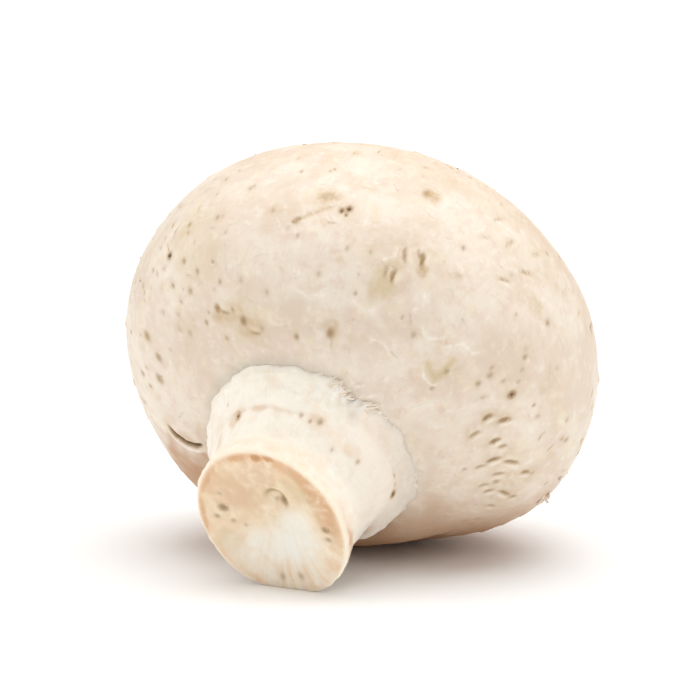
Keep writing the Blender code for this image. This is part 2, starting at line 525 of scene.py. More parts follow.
def add_object(name, data):
    """Puts a new object with this mesh, light or camera into the scene."""
    thing = bpy.data.objects.new(name, data)
    bpy.context.scene.collection.objects.link(thing)
    return thing


def show(name, mesh, material, stands_for=()):
    """Adds a finished piece, riding on the one body."""
    piece = add_object(name, mesh)
    mesh.materials.append(material)
    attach(piece, "root")
    if stands_for:
        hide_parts(*stands_for)


# ---------------------------------------------------------------- kinds of mark


def speck(spot, size, dark):
    """A soft stain, a little taller than wide, in a tan halo and a shallow dent."""
    gap = np.hypot(spot.x, 0.75 * spot.y)
    spot.tint("stain", dark * bell(gap, 1.38 * size))
    spot.tint("tan", 0.40 * dark * bell(gap, 3.0 * size))
    spot.raise_by(-0.06 * dark * bell(gap, 1.6 * size))


def patch(spot, width, height, mask, amount, wander=0.35, seed=0):
    """A soft blotch: an oval whose edge wanders with the grain."""
    loose = wander * grain(spot.skin.plain[spot.rows], 1.6, 900 + seed)
    gap = np.hypot(spot.x / width, spot.y / height) + loose
    spot.tint(mask, amount * (1 - ease(gap, 0.35, 1.15)))


def tear(spot, length, strength, bow=0.10):
    """A short tear along y: a brown groove, bowed aside, with a pale lip on its right."""
    middle = bow * (1 - np.minimum((2 * spot.y / length) ** 2, 2))
    ends = np.exp(-((np.abs(spot.y) / (0.52 * length)) ** 3))
    groove = bell(spot.x + middle, 0.23) * ends
    lip = bell(spot.x + middle - 0.52, 0.28) * ends
    spot.raise_by(strength * (0.16 * lip - 0.15 * groove))
    spot.tint("stain", 0.80 * strength * groove)
    spot.tint("pale", 0.6 * strength * lip)
    spot.tint("tan", 0.70 * strength * bell(np.hypot(spot.x, 0.7 * spot.y), 1.1))


def scale(spot, length, width, strength):
    """A fibrous scale: it rises down to its tip at y = 0, and stops there with a small step
    and a brown edge.  Its sides narrow towards the tip."""
    slim = width * (0.45 + 0.55 * np.clip(spot.y / length, 0, 1))
    across = np.exp(-((np.abs(spot.x) / slim) ** 3))
    rise = np.clip(1 - spot.y / length, 0, 1) * ease(spot.y, -0.22, 0.10)
    spot.raise_by(strength * (0.20 * rise * across - 0.05 * bell(spot.y + 0.4, 0.3) * across))
    edge = bell(spot.y - 0.12, 0.34) * across
    spot.tint("tan", strength * 0.9 * rise * across)
    spot.tint("stain", strength * 0.26 * edge)


def ridge(spot, path, width, height):
    """A raised thread along a crooked line, thinning out at both ends.  Returns the distance
    from the line, and 1 along it, easing to 0 at both ends."""
    gap, share = spot.to_line(path)
    ends = faded_ends(share, 0.2, 0.2)
    spot.raise_by(height * bell(gap, width) * ends)
    return gap, ends


def line_mask(gap, strength):
    """A fine line as its mask holds it: the strength on the line, and 0 at its reach.  The
    material sharpens it."""
    return strength * np.clip(1 - gap / LINE_REACH, 0, 1)


# ---------------------------------------------------------------- the cap

# Places on the cap are (bearing, slope) in degrees, then sizes in millimetres.
CAP_SPECKS = (  # bearing, slope, size, darkness
    (-131, -16, 0.30, 0.75),
    (-125, -20, 0.26, 0.45),
    (-121, -24, 0.22, 0.5),
    (-113, -29, 0.20, 0.45),
    (-131, -24, 0.22, 0.45),
    (-125, -28, 0.28, 0.4),
    (-130, -29, 0.20, 0.35),
    (-116, -35, 0.30, 0.65),
    (-107, -40, 0.32, 0.66),
    (-152, -27, 0.42, 0.52),
    (-139, -16, 0.24, 0.4),
    (-124, -10, 0.26, 0.5),
    (-114, -11, 0.24, 0.4),
    (-98, -11, 0.24, 0.35),
    (-139, -28, 0.26, 0.3),
    (-145, -19, 0.22, 0.35),
    (-154, -33, 0.38, 0.48),
    (-167, -28, 0.28, 0.45),
    (-162, -35, 0.42, 0.52),
    (-117, -43, 0.18, 0.4),
    (-80, -9, 0.22, 0.95),
    (-77.8, -8, 0.26, 0.95),
    (-78.3, -10.2, 0.16, 0.7),
    (-90, -14, 0.30, 0.5),
    (-89, -18, 0.20, 0.35),
    (-72, -41, 0.34, 0.60),
    (-85, -44, 0.24, 0.5),
    (-74, -19, 0.22, 0.3),
    (-68, -18, 0.18, 0.3),
    (-62, 5, 0.30, 0.55),
    (-12, -23, 0.30, 0.9),
    (-21, -25, 0.28, 0.4),
    (-21, -28.5, 0.26, 0.45),
    (-17, -23, 0.22, 0.35),
    (-2, -19, 0.22, 0.35),
    (8, -40, 0.20, 0.35),
    (11, -12, 0.28, 0.4),
    (-16, -18, 0.20, 0.3),
    (-52, -29, 0.20, 0.35),
    (-46, -31, 0.24, 0.35),
)
CAP_TEARS = (  # bearing, slope, length, turn, strength
    (-9.3, -30.6, 1.3, 8, 1.0),
    (-6.1, -27.2, 1.5, -14, 1.0),
    (-5.5, -35.1, 1.5, 12, 0.6),
    (-1.0, -31.2, 1.3, 4, 0.9),
    (2.5, -29.5, 1.1, -8, 0.6),
    (6.4, -32.5, 1.6, 6, 0.9),
    (9.0, -28.3, 2.0, -28, 0.8),
    (15.1, -24.4, 1.2, -20, 0.9),
    (8.0, -36.0, 1.4, 10, 0.5),
    (13.0, -31.5, 1.5, 0, 0.6),
    (17.0, -35.0, 1.3, 12, 0.5),
    (22.0, -29.3, 1.9, -38, 0.9),
    (20.2, -33.4, 1.2, 20, 0.6),
    (24.5, -26.1, 1.1, -10, 0.6),
    (28.0, -31.0, 1.3, -15, 0.5),
    (-55.5, -14.3, 1.7, 14, 1.0),
    (-60.0, -21.3, 1.5, 6, 0.9),
    (-59.6, -15.5, 1.9, 22, 0.6),
    (-62.5, -21.0, 1.6, 10, 0.5),
    (-57.0, -13.2, 1.2, 30, 0.5),
    (-35.0, -5.5, 1.5, -62, 0.6),
    (-31.5, 1.0, 1.6, -55, 0.6),
    (-43.5, 9.5, 1.8, -35, 0.45),
    (-44.0, 1.5, 1.4, -60, 0.35),
    (-37.8, 5.0, 1.9, -20, 0.45),
    (-30.6, 8.5, 1.7, -30, 0.40),
    (-113.5, -36.5, 1.5, 60, 0.5),
    (-102.5, -43.5, 1.4, 75, 0.5),
)
CAP_PATCHES = (  # bearing, slope, width, height, mask, amount
    (-112, -37, 3.0, 1.3, "tan", 0.8),
    (-104, -42, 2.2, 1.3, "tan", 0.8),
    (-107, -39, 2.8, 2.6, "green", 0.30),
    (-72, -40, 1.0, 1.3, "tan", 0.7),
    (-61, -23, 3.4, 3.0, "tan", 0.45),
    (-62, -23.5, 1.5, 2.8, "green", 0.60),
    (-54, -16.5, 0.8, 1.0, "tan", 1.3),
    (-84.5, -5, 1.9, 1.3, "tan", 0.9),
    (-84.5, -5, 1.0, 0.6, "stain", 0.25),
    (-98, -11, 1.4, 1.2, "tan", 0.4),
    (-124, -10, 3.5, 2.8, "green", 0.28),
    (-122, -22, 4.5, 3.5, "green", 0.28),
    (-60.5, 5.5, 1.2, 1.3, "tan", 1.0),
    (-62, 6, 0.5, 0.6, "stain", 0.35),
    (-128, -13, 2.4, 2.2, "tan", 0.4),
    (-28, -5, 3.2, 1.5, "tan", 0.35),
    (-24, 8, 4.0, 2.2, "tan", 0.30),
    (10, -30, 3.6, 3.0, "tan", 0.42),
    (0, -31, 3.0, 2.0, "tan", 0.35),
    (23, -29, 2.6, 2.6, "tan", 0.45),
    (-5, -13, 3.5, 2.5, "tan", 0.35),
    (-145, 12, 4.5, 3.5, "tan", 0.5),
    (-78, 2, 3.5, 1.6, "tan", 0.3),
)
CAP_RIDGES = (  # (bearing, slope) points, width, height
    (((-41, -28), (-37, -29), (-33, -25), (-29.5, -25), (-27, -21)), 0.24, 0.085),
    (((-47.5, -27), (-44.5, -29), (-42, -29.5), (-39, -27), (-38, -24)), 0.22, 0.08),
    (((-37.5, -35), (-34, -37.5), (-29.5, -37.5), (-28.5, -34)), 0.26, 0.09),
    (((-51, -55.5), (-47, -53.5), (-43, -51), (-39, -49)), 0.38, 0.21),
    (((-53, -54), (-52, -52), (-50, -50)), 0.25, 0.10),
    (((-28, -49), (-25, -43), (-20, -35)), 0.45, 0.06),
    (((-48, 7), (-44, 9), (-40, 9), (-35, 6.5)), 0.6, 0.07),
    (((-70, -30), (-64, -32), (-58, -30)), 0.35, 0.045),
    (((-90, -30), (-82, -33), (-74, -31)), 0.4, 0.04),
    (((-60, -38), (-53, -37), (-47, -39)), 0.3, 0.045),
    (((-66, -20), (-62, -17), (-63, -13)), 0.3, 0.05),
    (((-51, -20), (-49, -24), (-52, -27)), 0.3, 0.05),
)
RIDGE_REACH = 9
DENT_PLACE = (-32.5, -33)
DENT_CORNERS = ((-36.5, -34.5), (-30.5, -36.2), (-31.5, -29.5))
CREASE_PLACE = (-87, -11.5)
CREASE_ENDS = ((-91, -14.5), (-82, -8))
# The slit's path runs from its upper end to its lower one, in millimetres from its place.
SLIT_PLACE = (175, -43)
SLIT_PATH = ((1.5, 2.75), (0.9, 2.15), (0.2, 1.2), (-0.3, -0.2), (-0.3, -1.6), (0.2, -3.0))
BEYOND_SHADE_PLACE = (149, -39)

# The cap's unevenness: height, size of the lumps, seed, and how many layers of finer grain.
CAP_GRAINS = (
    (0.20, 15, 11, 1),
    (0.10, 7, 12, 1),
    (0.028, 2.6, 13, 1),
    (0.014, 1.1, 14, 2),
)
# Its radial puckers: height, how many round, length, seed, how far from the collar they reach.
CAP_PUCKERS = (
    (0.13, 70, 5, 21, 2.6),
    (0.08, 34, 14, 22, 9.0),
)
FAR_FROM_COLLAR = 40

# What marks leave on a skin, for its material to colour: a brown stain, tan, green and pale;
# then fine lines and painted shade towards the ground on the cap, and amber on the stem.
CAP_MARK_MASKS = ("stain", "tan", "green", "pale", "thread", "crease", "ground")
STEM_MARK_MASKS = ("stain", "tan", "green", "pale", "amber")

# Behind the collar the cap's outline leaves the underside and runs in to the axis.
HIDDEN_RADIUS = 9.6
HIDDEN_LINE = ((8.0, -16.6), (4.0, -16.4), (0.0, -16.4))


def cap_line():
    """Half outline of the cap: the crown's quarter superellipse, the underside's, and then
    straight in to the axis behind the collar."""
    quarter = np.linspace(0, 0.5 * math.pi, 1500)
    crown = superellipse(CAP_RADIUS, CROWN_RISE, CROWN_FULLNESS, quarter[::-1])
    end = math.acos((HIDDEN_RADIUS / CAP_RADIUS) ** (UNDERSIDE_FULLNESS / 2))
    under = superellipse(
        CAP_RADIUS, -UNDERSIDE_DROP, UNDERSIDE_FULLNESS, np.linspace(0, end, 1500)[1:]
    )
    return np.vstack([crown, under, HIDDEN_LINE])


def cap_crowding(radius, height):
    """Rows are closest on the underside, and few behind the collar."""
    under = ease(height, 1, -5) * ease(radius, 9.0, 10.5)
    hidden = ease(radius, 10.4, 9.4) * (height < 0)
    return 0.60 + 0.50 * under - 0.45 * hidden


def cap_skin():
    """The cap's skin.  Its relief is a sum of broad unevenness, fine grain, radial puckers
    near the collar, wrinkles, ripples round the right of the collar, and the marks."""
    line, along = respaced(cap_line(), CAP_ROWS, cap_crowding)
    bearings = crowded_bearings(CAP_COLUMNS, CAP_CROWDS)
    b, r, z, s = carried_round(bearings, *line.T, along)
    plain = grown(r, z, b)
    normal = outward_normals(plain, CAP_ROWS // 2)
    skin = Skin(plain, normal, fibre_grid(b, s), CAP_MARK_MASKS)

    outwards = np.maximum(r - COLLAR_EDGE_RADIUS, 0)
    from_collar = np.where(z < 0, outwards, FAR_FROM_COLLAR)
    for height, size, seed, layers in CAP_GRAINS:
        skin.relief += height * layered_grain(plain, size, seed, layers)
    for height, count, length, seed, reach in CAP_PUCKERS:
        skin.relief += height * streaks(b, s, count, length, seed) * bell(from_collar, reach)
    skin.relief += 0.018 * streaks(b, s, 150, 4, 23) * ease(r, 6, 12)
    wrinkle = bell(grain(plain, 4.5, 33), 0.05) + 0.7 * bell(grain(plain, 2.4, 34), 0.05)
    skin.relief -= 0.045 * wrinkle * ease(grain(plain, 6, 35), -0.1, 0.3)
    ripples = np.sin(2 * math.pi * (from_collar + 2.2 * grain(plain, 5, 36)) / 1.4)
    ripples *= bell(turn_between(b, -8), 42) * bell(from_collar - 3.5, 3.5)
    skin.relief += 0.022 * ripples * ease(grain(plain, 2.5, 37), -0.3, 0.3)

    add_cap_marks(skin)
    press_dent(skin)
    draw_crease(skin)
    scatter_scales(skin)
    scatter_specks(skin)
    scatter_creases(skin)
    open_slit(skin)
    behind_collar = ease(r, 11.0, 10.2) * (z < 0)
    skin.relief *= 1 - behind_collar

    # Painted shade towards the ground, the browning on the crown, painted shade along the collar,
    # and the white fluff that the veil left there.
    off_ground = (laid_down(plain) + REST_SHIFT)[..., 2]
    low_side_shade = ease(off_ground + 1.5 * grain(plain, 4, 31), 11.0, 0.5)
    skin.masks["ground"] = np.maximum(skin.masks["ground"], low_side_shade)
    skin.masks["crown"] = ease(z + 2.0 * grain(plain, 6, 32), 1.0, 12.0)
    # Painted shade: a grey band on the cap along the collar's edge, strongest near bearing -120.
    skin.masks["edge"] = bell(from_collar - 0.2, 0.8) * bell(turn_between(b, -120), 55)
    skin.masks["fringe"] = bell(from_collar, 1.1) * bell(turn_between(b, -5), 34)
    return skin


def add_cap_marks(skin):
    """The marks that have their own places: specks, blotches, tears and raised threads."""
    for bearing, slope, size, dark in CAP_SPECKS:
        here = skin.spot_towards((bearing, slope), 6 * size)
        speck(here, size, CAP_SPECK_STRENGTH * dark)
    for k, (bearing, slope, width, height, mask, amount) in enumerate(CAP_PATCHES):
        here = skin.spot_towards((bearing, slope), 2.2 * max(width, height))
        patch(here, width, height, mask, amount, seed=k)
    for bearing, slope, length, turn, strength in CAP_TEARS:
        here = skin.spot_towards((bearing, slope), 2.6 * length, turn)
        tear(here, length, strength)
    for places, width, height in CAP_RIDGES:
        spots = [skin.towards(*place) for place in places]
        here = Spot(skin, spots[len(spots) // 2], RIDGE_REACH)
        gap, ends = ridge(here, [here.flat(at) for at in spots], width, height)
        here.tint("thread", line_mask(gap, ends))
        here.tint("pale", 0.25 * bell(gap, 1.3 * width) * ends)


def press_dent(skin):
    """A V-shaped dent: a hollow between two grooves that meet, stained green."""
    dent = skin.spot_towards(DENT_PLACE, 4)
    corners = [dent.flat(skin.towards(*place)) for place in DENT_CORNERS]
    gap, _ = dent.to_line(corners)
    middle = np.mean(corners, axis=0)
    inside = bell(np.hypot(dent.x - middle[0], dent.y - middle[1]), 1.2)
    dent.raise_by(-0.20 * inside - 0.10 * bell(gap, 0.30))
    dent.tint("green", np.maximum(0.32 * inside, 0.85 * bell(gap, 0.42)))


def draw_crease(skin):
    """A straight crease near the top of the underside, darker towards its left end."""
    here = skin.spot_towards(CREASE_PLACE, 6)
    gap, share = here.to_line([here.flat(skin.towards(*place)) for place in CREASE_ENDS])
    here.raise_by(-0.10 * bell(gap, 0.22))
    here.tint("tan", 0.7 * bell(gap, 0.35))
    here.tint("stain", bell(gap, 0.20) * (0.12 + 0.45 * ease(share, 0.35, 0.15)))


def scatter_creases(skin):
    """Fine curved creases over the whole cap, on seeded random places; every seventh is a
    stuck thread.  Each is a bent line, kept in a mask for the material to draw."""
    chance = np.random.default_rng(67)
    for k in range(CREASE_COUNT):
        place = chance.uniform(-180, 180), 60 - 105 * chance.uniform() ** 0.7
        length, bend = chance.uniform(1.2, 4.0), chance.uniform(-0.9, 0.9)
        turn = chance.normal(0, 38) + 90 * (chance.uniform() < 0.35)
        here = skin.spot_towards(place, length + 1.5, turn)
        half = 0.5 * length
        path = ((0, -half), (bend, -0.4 * half), (bend, 0.4 * half), (0.3 * bend, half))
        gap, share = here.to_line(path)
        strength = chance.uniform(0.86, 1.0) * faded_ends(share, 0.3, 0.3)
        here.tint("thread" if k % 7 == 0 else "crease", line_mask(gap, strength))


def scatter_specks(skin):
    """Small soft specks on seeded random places: many at the left and on the far sides."""
    chance = np.random.default_rng(63)
    for centre, spread, low, high, count in SPECK_PATCHES:
        for _ in range(count):
            place = chance.normal(centre, spread), chance.uniform(low, high)
            size, dark = chance.uniform(0.13, 0.27), chance.uniform(0.15, 0.5)
            speck(skin.spot_towards(place, 6 * size), size, dark)


def in_view(bearing, slope):
    """1 on the smooth, well-lit side above the collar, and 0 on the crown and far sides."""
    return bell(bearing + 70, 75) * ease(slope, 35, 5)


def scatter_scales(skin):
    """Small scales over the crown and the far sides, thinning out towards the underside, on
    seeded random places."""
    chance = np.random.default_rng(61)
    for _ in range(SCALE_COUNT):
        bearing = chance.uniform(-180, 180)
        slope = 72 - 104 * chance.uniform() ** 0.8
        length, width = chance.uniform(0.9, 2.2), chance.uniform(0.35, 0.9)
        strength = chance.uniform(0.35, 1.0)
        turn = chance.normal(0, 14)
        if chance.uniform() < 0.93 * in_view(bearing, slope):
            continue
        here = skin.spot_towards((bearing, slope), 2.2 * length + 1.0, turn)
        scale(here, length, width, strength)


def open_slit(skin):
    """The slit is a groove along a bowed line; the flap beside it is raised and pale, and
    the skin beyond is darkened with painted shade."""
    here = skin.spot_towards(SLIT_PLACE, 9)
    gap, share = here.to_line(SLIT_PATH)
    ends = faded_ends(share, 0.18, 0.20)
    here.raise_by(-0.45 * bell(gap, 0.23) * ends)
    here.tint("stain", 1.1 * bell(gap, 0.25) * ends)
    gap, share = here.to_line([(x - 0.62, y - 0.10) for x, y in SLIT_PATH])
    ends = faded_ends(share, 0.20, 0.20)
    here.raise_by(0.24 * bell(gap, 0.40) * ends)
    here.tint("pale", 0.8 * bell(gap, 0.30) * ends)
    # Painted shade: the skin beyond the slit is darkened brown, like the skin by the ground.
    beyond = skin.spot_towards(BEYOND_SHADE_PLACE, 14)
    patch(beyond, 8.5, 9.0, "ground", 0.85, 0.3, 77)


# ---------------------------------------------------------------- collar, stem and cut face

# How deep the fold under the collar is, round the stem: (bearing, share).
FOLD_DEPTH = (
    (-180, 0.28),
    (-150, 0.10),
    (-120, 0.0),
    (8, 0.0),
    (24, 0.35),
    (50, 1.0),
    (120, 0.95),
    (155, 0.6),
    (180, 0.28),
)
# Where there is no fold, how far the flank between collar and stem stands out: (bearing, mm).
FLANK_BULGE = (
    (-180, 0.0),
    (-110, 0.15),
    (-62, 0.35),
    (-40, 1.10),
    (-12, 1.60),
    (14, 1.30),
    (45, 0.5),
    (180, 0.0),
)
COLLAR_SPECKS = (  # bearing, height, radius, size, darkness
    (6, -20.3, 10.4, 0.30, 0.9),
    (-3, -19.4, 10.8, 0.20, 0.4),
    (2, -19.7, 10.6, 0.16, 0.4),
    (-27, -21.2, 8.8, 0.24, 0.35),
    (-117, -20.8, 9.3, 0.30, 0.6),
    (-60, -20.6, 9.6, 0.26, 0.45),
    (-73, -20.7, 9.5, 0.22, 0.35),
    (-66, -20.9, 9.3, 0.18, 0.4),
    (-128, -19.0, 10.6, 0.20, 0.3),
    (-45, -22.5, 8.9, 0.16, 0.3),
)
FACE_SPECKS = (  # bearing, radius, size, darkness
    (-170, 5.9, 0.36, 0.66),
    (-3, 6.9, 0.30, 0.66),
    (7, 7.0, 0.28, 0.42),
    (30, 8.1, 0.34, 0.42),
    (67, 6.9, 0.34, 0.35),
    (87, 6.9, 0.36, 0.35),
    (173, 4.8, 0.24, 0.35),
    (178, 6.8, 0.26, 0.4),
    (166, 3.4, 0.22, 0.3),
    (-155, 6.6, 0.22, 0.3),
)
FACE_PATCHES = (  # bearing, radius, width, height, mask, amount
    (-140, 5.2, 4.2, 3.6, "tan", 0.75),
    (-100, 6.0, 4.5, 2.4, "tan", 0.6),
    (-93, 8.45, 0.9, 0.55, "amber", 1.3),
    (-93, 8.4, 0.35, 0.3, "stain", 0.35),
    (-83, 8.6, 0.8, 0.45, "amber", 1.0),
    (-33, 7.4, 2.8, 1.4, "amber", 0.55),
    (-16, 7.1, 2.6, 1.5, "amber", 0.50),
    (-50, 7.8, 2.8, 1.0, "amber", 0.40),
    (29, 8.0, 1.1, 0.8, "amber", 0.8),
    (8, 8.2, 2.0, 0.6, "amber", 0.5),
    (-112, 8.5, 2.2, 0.45, "amber", 0.5),
    (-150, 8.5, 3.0, 0.45, "amber", 0.4),
    (178, 8.5, 2.6, 0.45, "amber", 0.4),
    (100, 8.4, 1.6, 0.45, "amber", 0.5),
    (68, 8.4, 1.4, 0.45, "amber", 0.4),
    (-10, 8.0, 3.0, 1.0, "tan", 0.8),
    (15, 8.0, 3.0, 1.0, "tan", 0.7),
    (-48, 6.0, 2.4, 1.8, "green", 0.22),
    (150, 6.5, 2.6, 2.2, "green", 0.16),
    (85, 7.9, 3.5, 0.8, "tan", 0.25),
    (8, 3.2, 3.4, 2.8, "pale", 0.62),
    (55, 3.0, 3.6, 3.0, "pale", 0.70),
    (105, 3.0, 3.4, 2.4, "pale", 0.55),
    (20, 5.4, 2.4, 1.6, "pale", 0.35),
    (118, 6.2, 4.2, 1.9, "pale", 0.34),
    (-150, 7.6, 2.6, 1.2, "tan", 0.6),
    (-60, 7.9, 2.2, 0.9, "tan", 0.7),
)
COLLAR_PATCHES = (  # bearing, height, radius, width, height of the patch, mask, amount
    (-120, -21.0, 9.5, 1.4, 1.1, "tan", 0.6),
    (-140, -22.6, 9.0, 1.2, 1.6, "tan", 0.55),
    (-104, -20.6, 9.6, 1.6, 0.5, "tan", 0.35),
    (-64, -20.4, 9.7, 1.5, 0.6, "tan", 0.5),
    (-35, -21.6, 9.8, 1.5, 0.9, "tan", 0.35),
    (4, -20.0, 10.8, 1.0, 1.0, "tan", 0.4),
    (-24, -18.0, 11.4, 1.6, 1.0, "tan", 0.2),
    (150, -24.0, 8.9, 4.0, 2.6, "tan", 0.5),
    (80, -25.0, 8.9, 5.0, 2.2, "tan", 0.5),
    (100, -18.0, 11.4, 4.0, 1.5, "tan", 0.4),
)
STUCK_THREADS = (  # (bearing, height, radius) points across the notch
    ((-50, -16.9, 11.0), (-46, -15.6, 11.6), (-42, -15.2, 12.4)),
    ((-56, -17.6, 11.3), (-51, -16.4, 11.3), (-47, -15.9, 11.5)),
    ((-44, -17.5, 11.2), (-43, -16.4, 11.6), (-39, -15.6, 12.0)),
)
VALLEY_PLACE = (-47, -18, 10.9)
VALLEY_PATH = ((-50, -15.9, 11.0), (-48, -17.4, 10.8), (-43, -19.2, 10.2), (-41, -20.6, 9.6))
FLUFF_PLACE = (-55, -16.6, 11.2)
NOTCH_BEARING = -50
FEATHER_BEARING = 2
SEAM_BEARING, SEAM_WIDTH = -100, 42
FAN_BEARING, FAN_WIDTH = 72, 62
PIT_WALL_BEARING = -75

# The flank runs between these heights, and bends as a power of the share left to run.
FLANK_TOP, FLANK_FOOT = -17.5, -24.6
FLANK_POWER = 1.75
SEAM_HEIGHT = -20.9

# The side of the stem is upright here, and turns into the cut face between the next two.
SIDE_HEIGHT = -25
FACE_START, FACE_END = -27.75, -27.93


def stem_line():
    """Half outline of the rest: from the axis inside the cap, out and over the puffy collar,
    in to the fold, down the stem to its rim, and across the cut face to the pit."""
    c = CREASE_HEIGHT
    collar = [
        (0.0, c + 2.6),
        (5.0, c + 2.6),
        (9.5, c + 2.4),
        (11.0, c + 1.4),
        (COLLAR_EDGE_RADIUS - 0.15, c + 0.55),
        (COLLAR_EDGE_RADIUS, c - 0.15),
        (11.75, c - 1.1),
        (11.30, c - 2.4),
        (10.75, c - 3.5),
        (10.1, c - 4.3),
        (9.45, c - 4.75),
        (9.0, c - 4.85),
        (8.8, c - 4.75),
        (8.68, c - 5.05),
        (8.66, c - 5.8),
    ]
    stem = [
        (8.72, -23.0),
        (8.86, -25.0),
        (9.04, -26.6),
        (9.10, -27.35),
        (9.06, -27.70),
        (8.92, -27.88),
        (8.65, -27.95),
    ]
    face = [(7.0, -27.98), (5.0, -27.98), (3.0, -27.96), (1.5, -27.96), (0.0, -27.96)]
    return smooth_line(collar + stem + face, 40)


def stem_crowding(radius, height):
    """Rows are closest at the fold and the rim, and few inside the cap."""
    hidden = ease(height, CREASE_HEIGHT + 0.4, CREASE_HEIGHT + 1.0)
    face = ease(height, -27.6, -27.9)
    fold = bell(height - FOLD_HEIGHT, 0.7)
    rim = bell(np.hypot(radius - CUT_RADIUS, height + 27.8), 0.5)
    return 1 - 0.93 * hidden + 0.5 * fold + 0.9 * rim - 0.2 * face


def row_at(line, height):
    """The row of an outline that is nearest to a height."""
    return int(np.argmin(np.abs(line[:, 1] - height)))


def without_fold(line, along):
    """The outline where there is no fold: down the flank, from the collar to the stem, its
    radius falls as a power of the share left to run, and its height evenly.  Also gives how
    a bulge swells down the flank: sine squared from its top to its foot."""
    top, foot = row_at(line, FLANK_TOP), row_at(line, FLANK_FOOT)
    share = ((along - along[top]) / (along[foot] - along[top])).clip(0, 1)
    between = (share > 0) & (share < 1)
    run = np.stack([(1 - share) ** FLANK_POWER, 1 - share], axis=-1)
    flank = line.copy()
    flank[between] = (line[foot] + run * (line[top] - line[foot]))[between]
    return flank, np.sin(math.pi * share) ** 2 * between


def formed_stem(line, along, bearings):
    """Radius and height of the collar and stem all round, and the fold's depth.  The outline
    with the fold and the one without are mixed by that depth.  Then the collar gets its notch
    and its wavy edge, and on the right it thins out over the cap."""
    b, r, z = carried_round(bearings, *line.T)
    depth = np.interp(np.degrees(bearings), *zip(*FOLD_DEPTH))
    flank, swell = without_fold(line, along)
    bulge = np.interp(np.degrees(bearings), *zip(*FLANK_BULGE)) * swell[:, None]
    radius = r * depth + (flank[:, 0][:, None] + bulge) * (1 - depth)
    height = z * depth + flank[:, 1][:, None] * (1 - depth)
    outer = ease(r, 5, 9)
    notch = bell(turn_between(b, NOTCH_BEARING), 8) * bell(z - CREASE_HEIGHT, 3.2)
    radius = radius - 0.95 * notch * outer
    level = 0 * b
    wave = 0.22 * streaks(b, level, 9, 1, 51) + 0.12 * streaks(b, level, 30, 1, 52)
    wave = wave + 0.07 * streaks(b, level, 75, 1, 54)
    radius = radius + wave * bell(z - CREASE_HEIGHT, 2.5) * outer
    feather = bell(turn_between(b, FEATHER_BEARING), 34) * ease(r, 7, 10)
    radius = radius + 0.5 * feather * ease(height, -16.9, -15.6)
    radius = radius - 0.35 * feather * bell(height - CREASE_HEIGHT, 2.6)
    return radius, height, depth


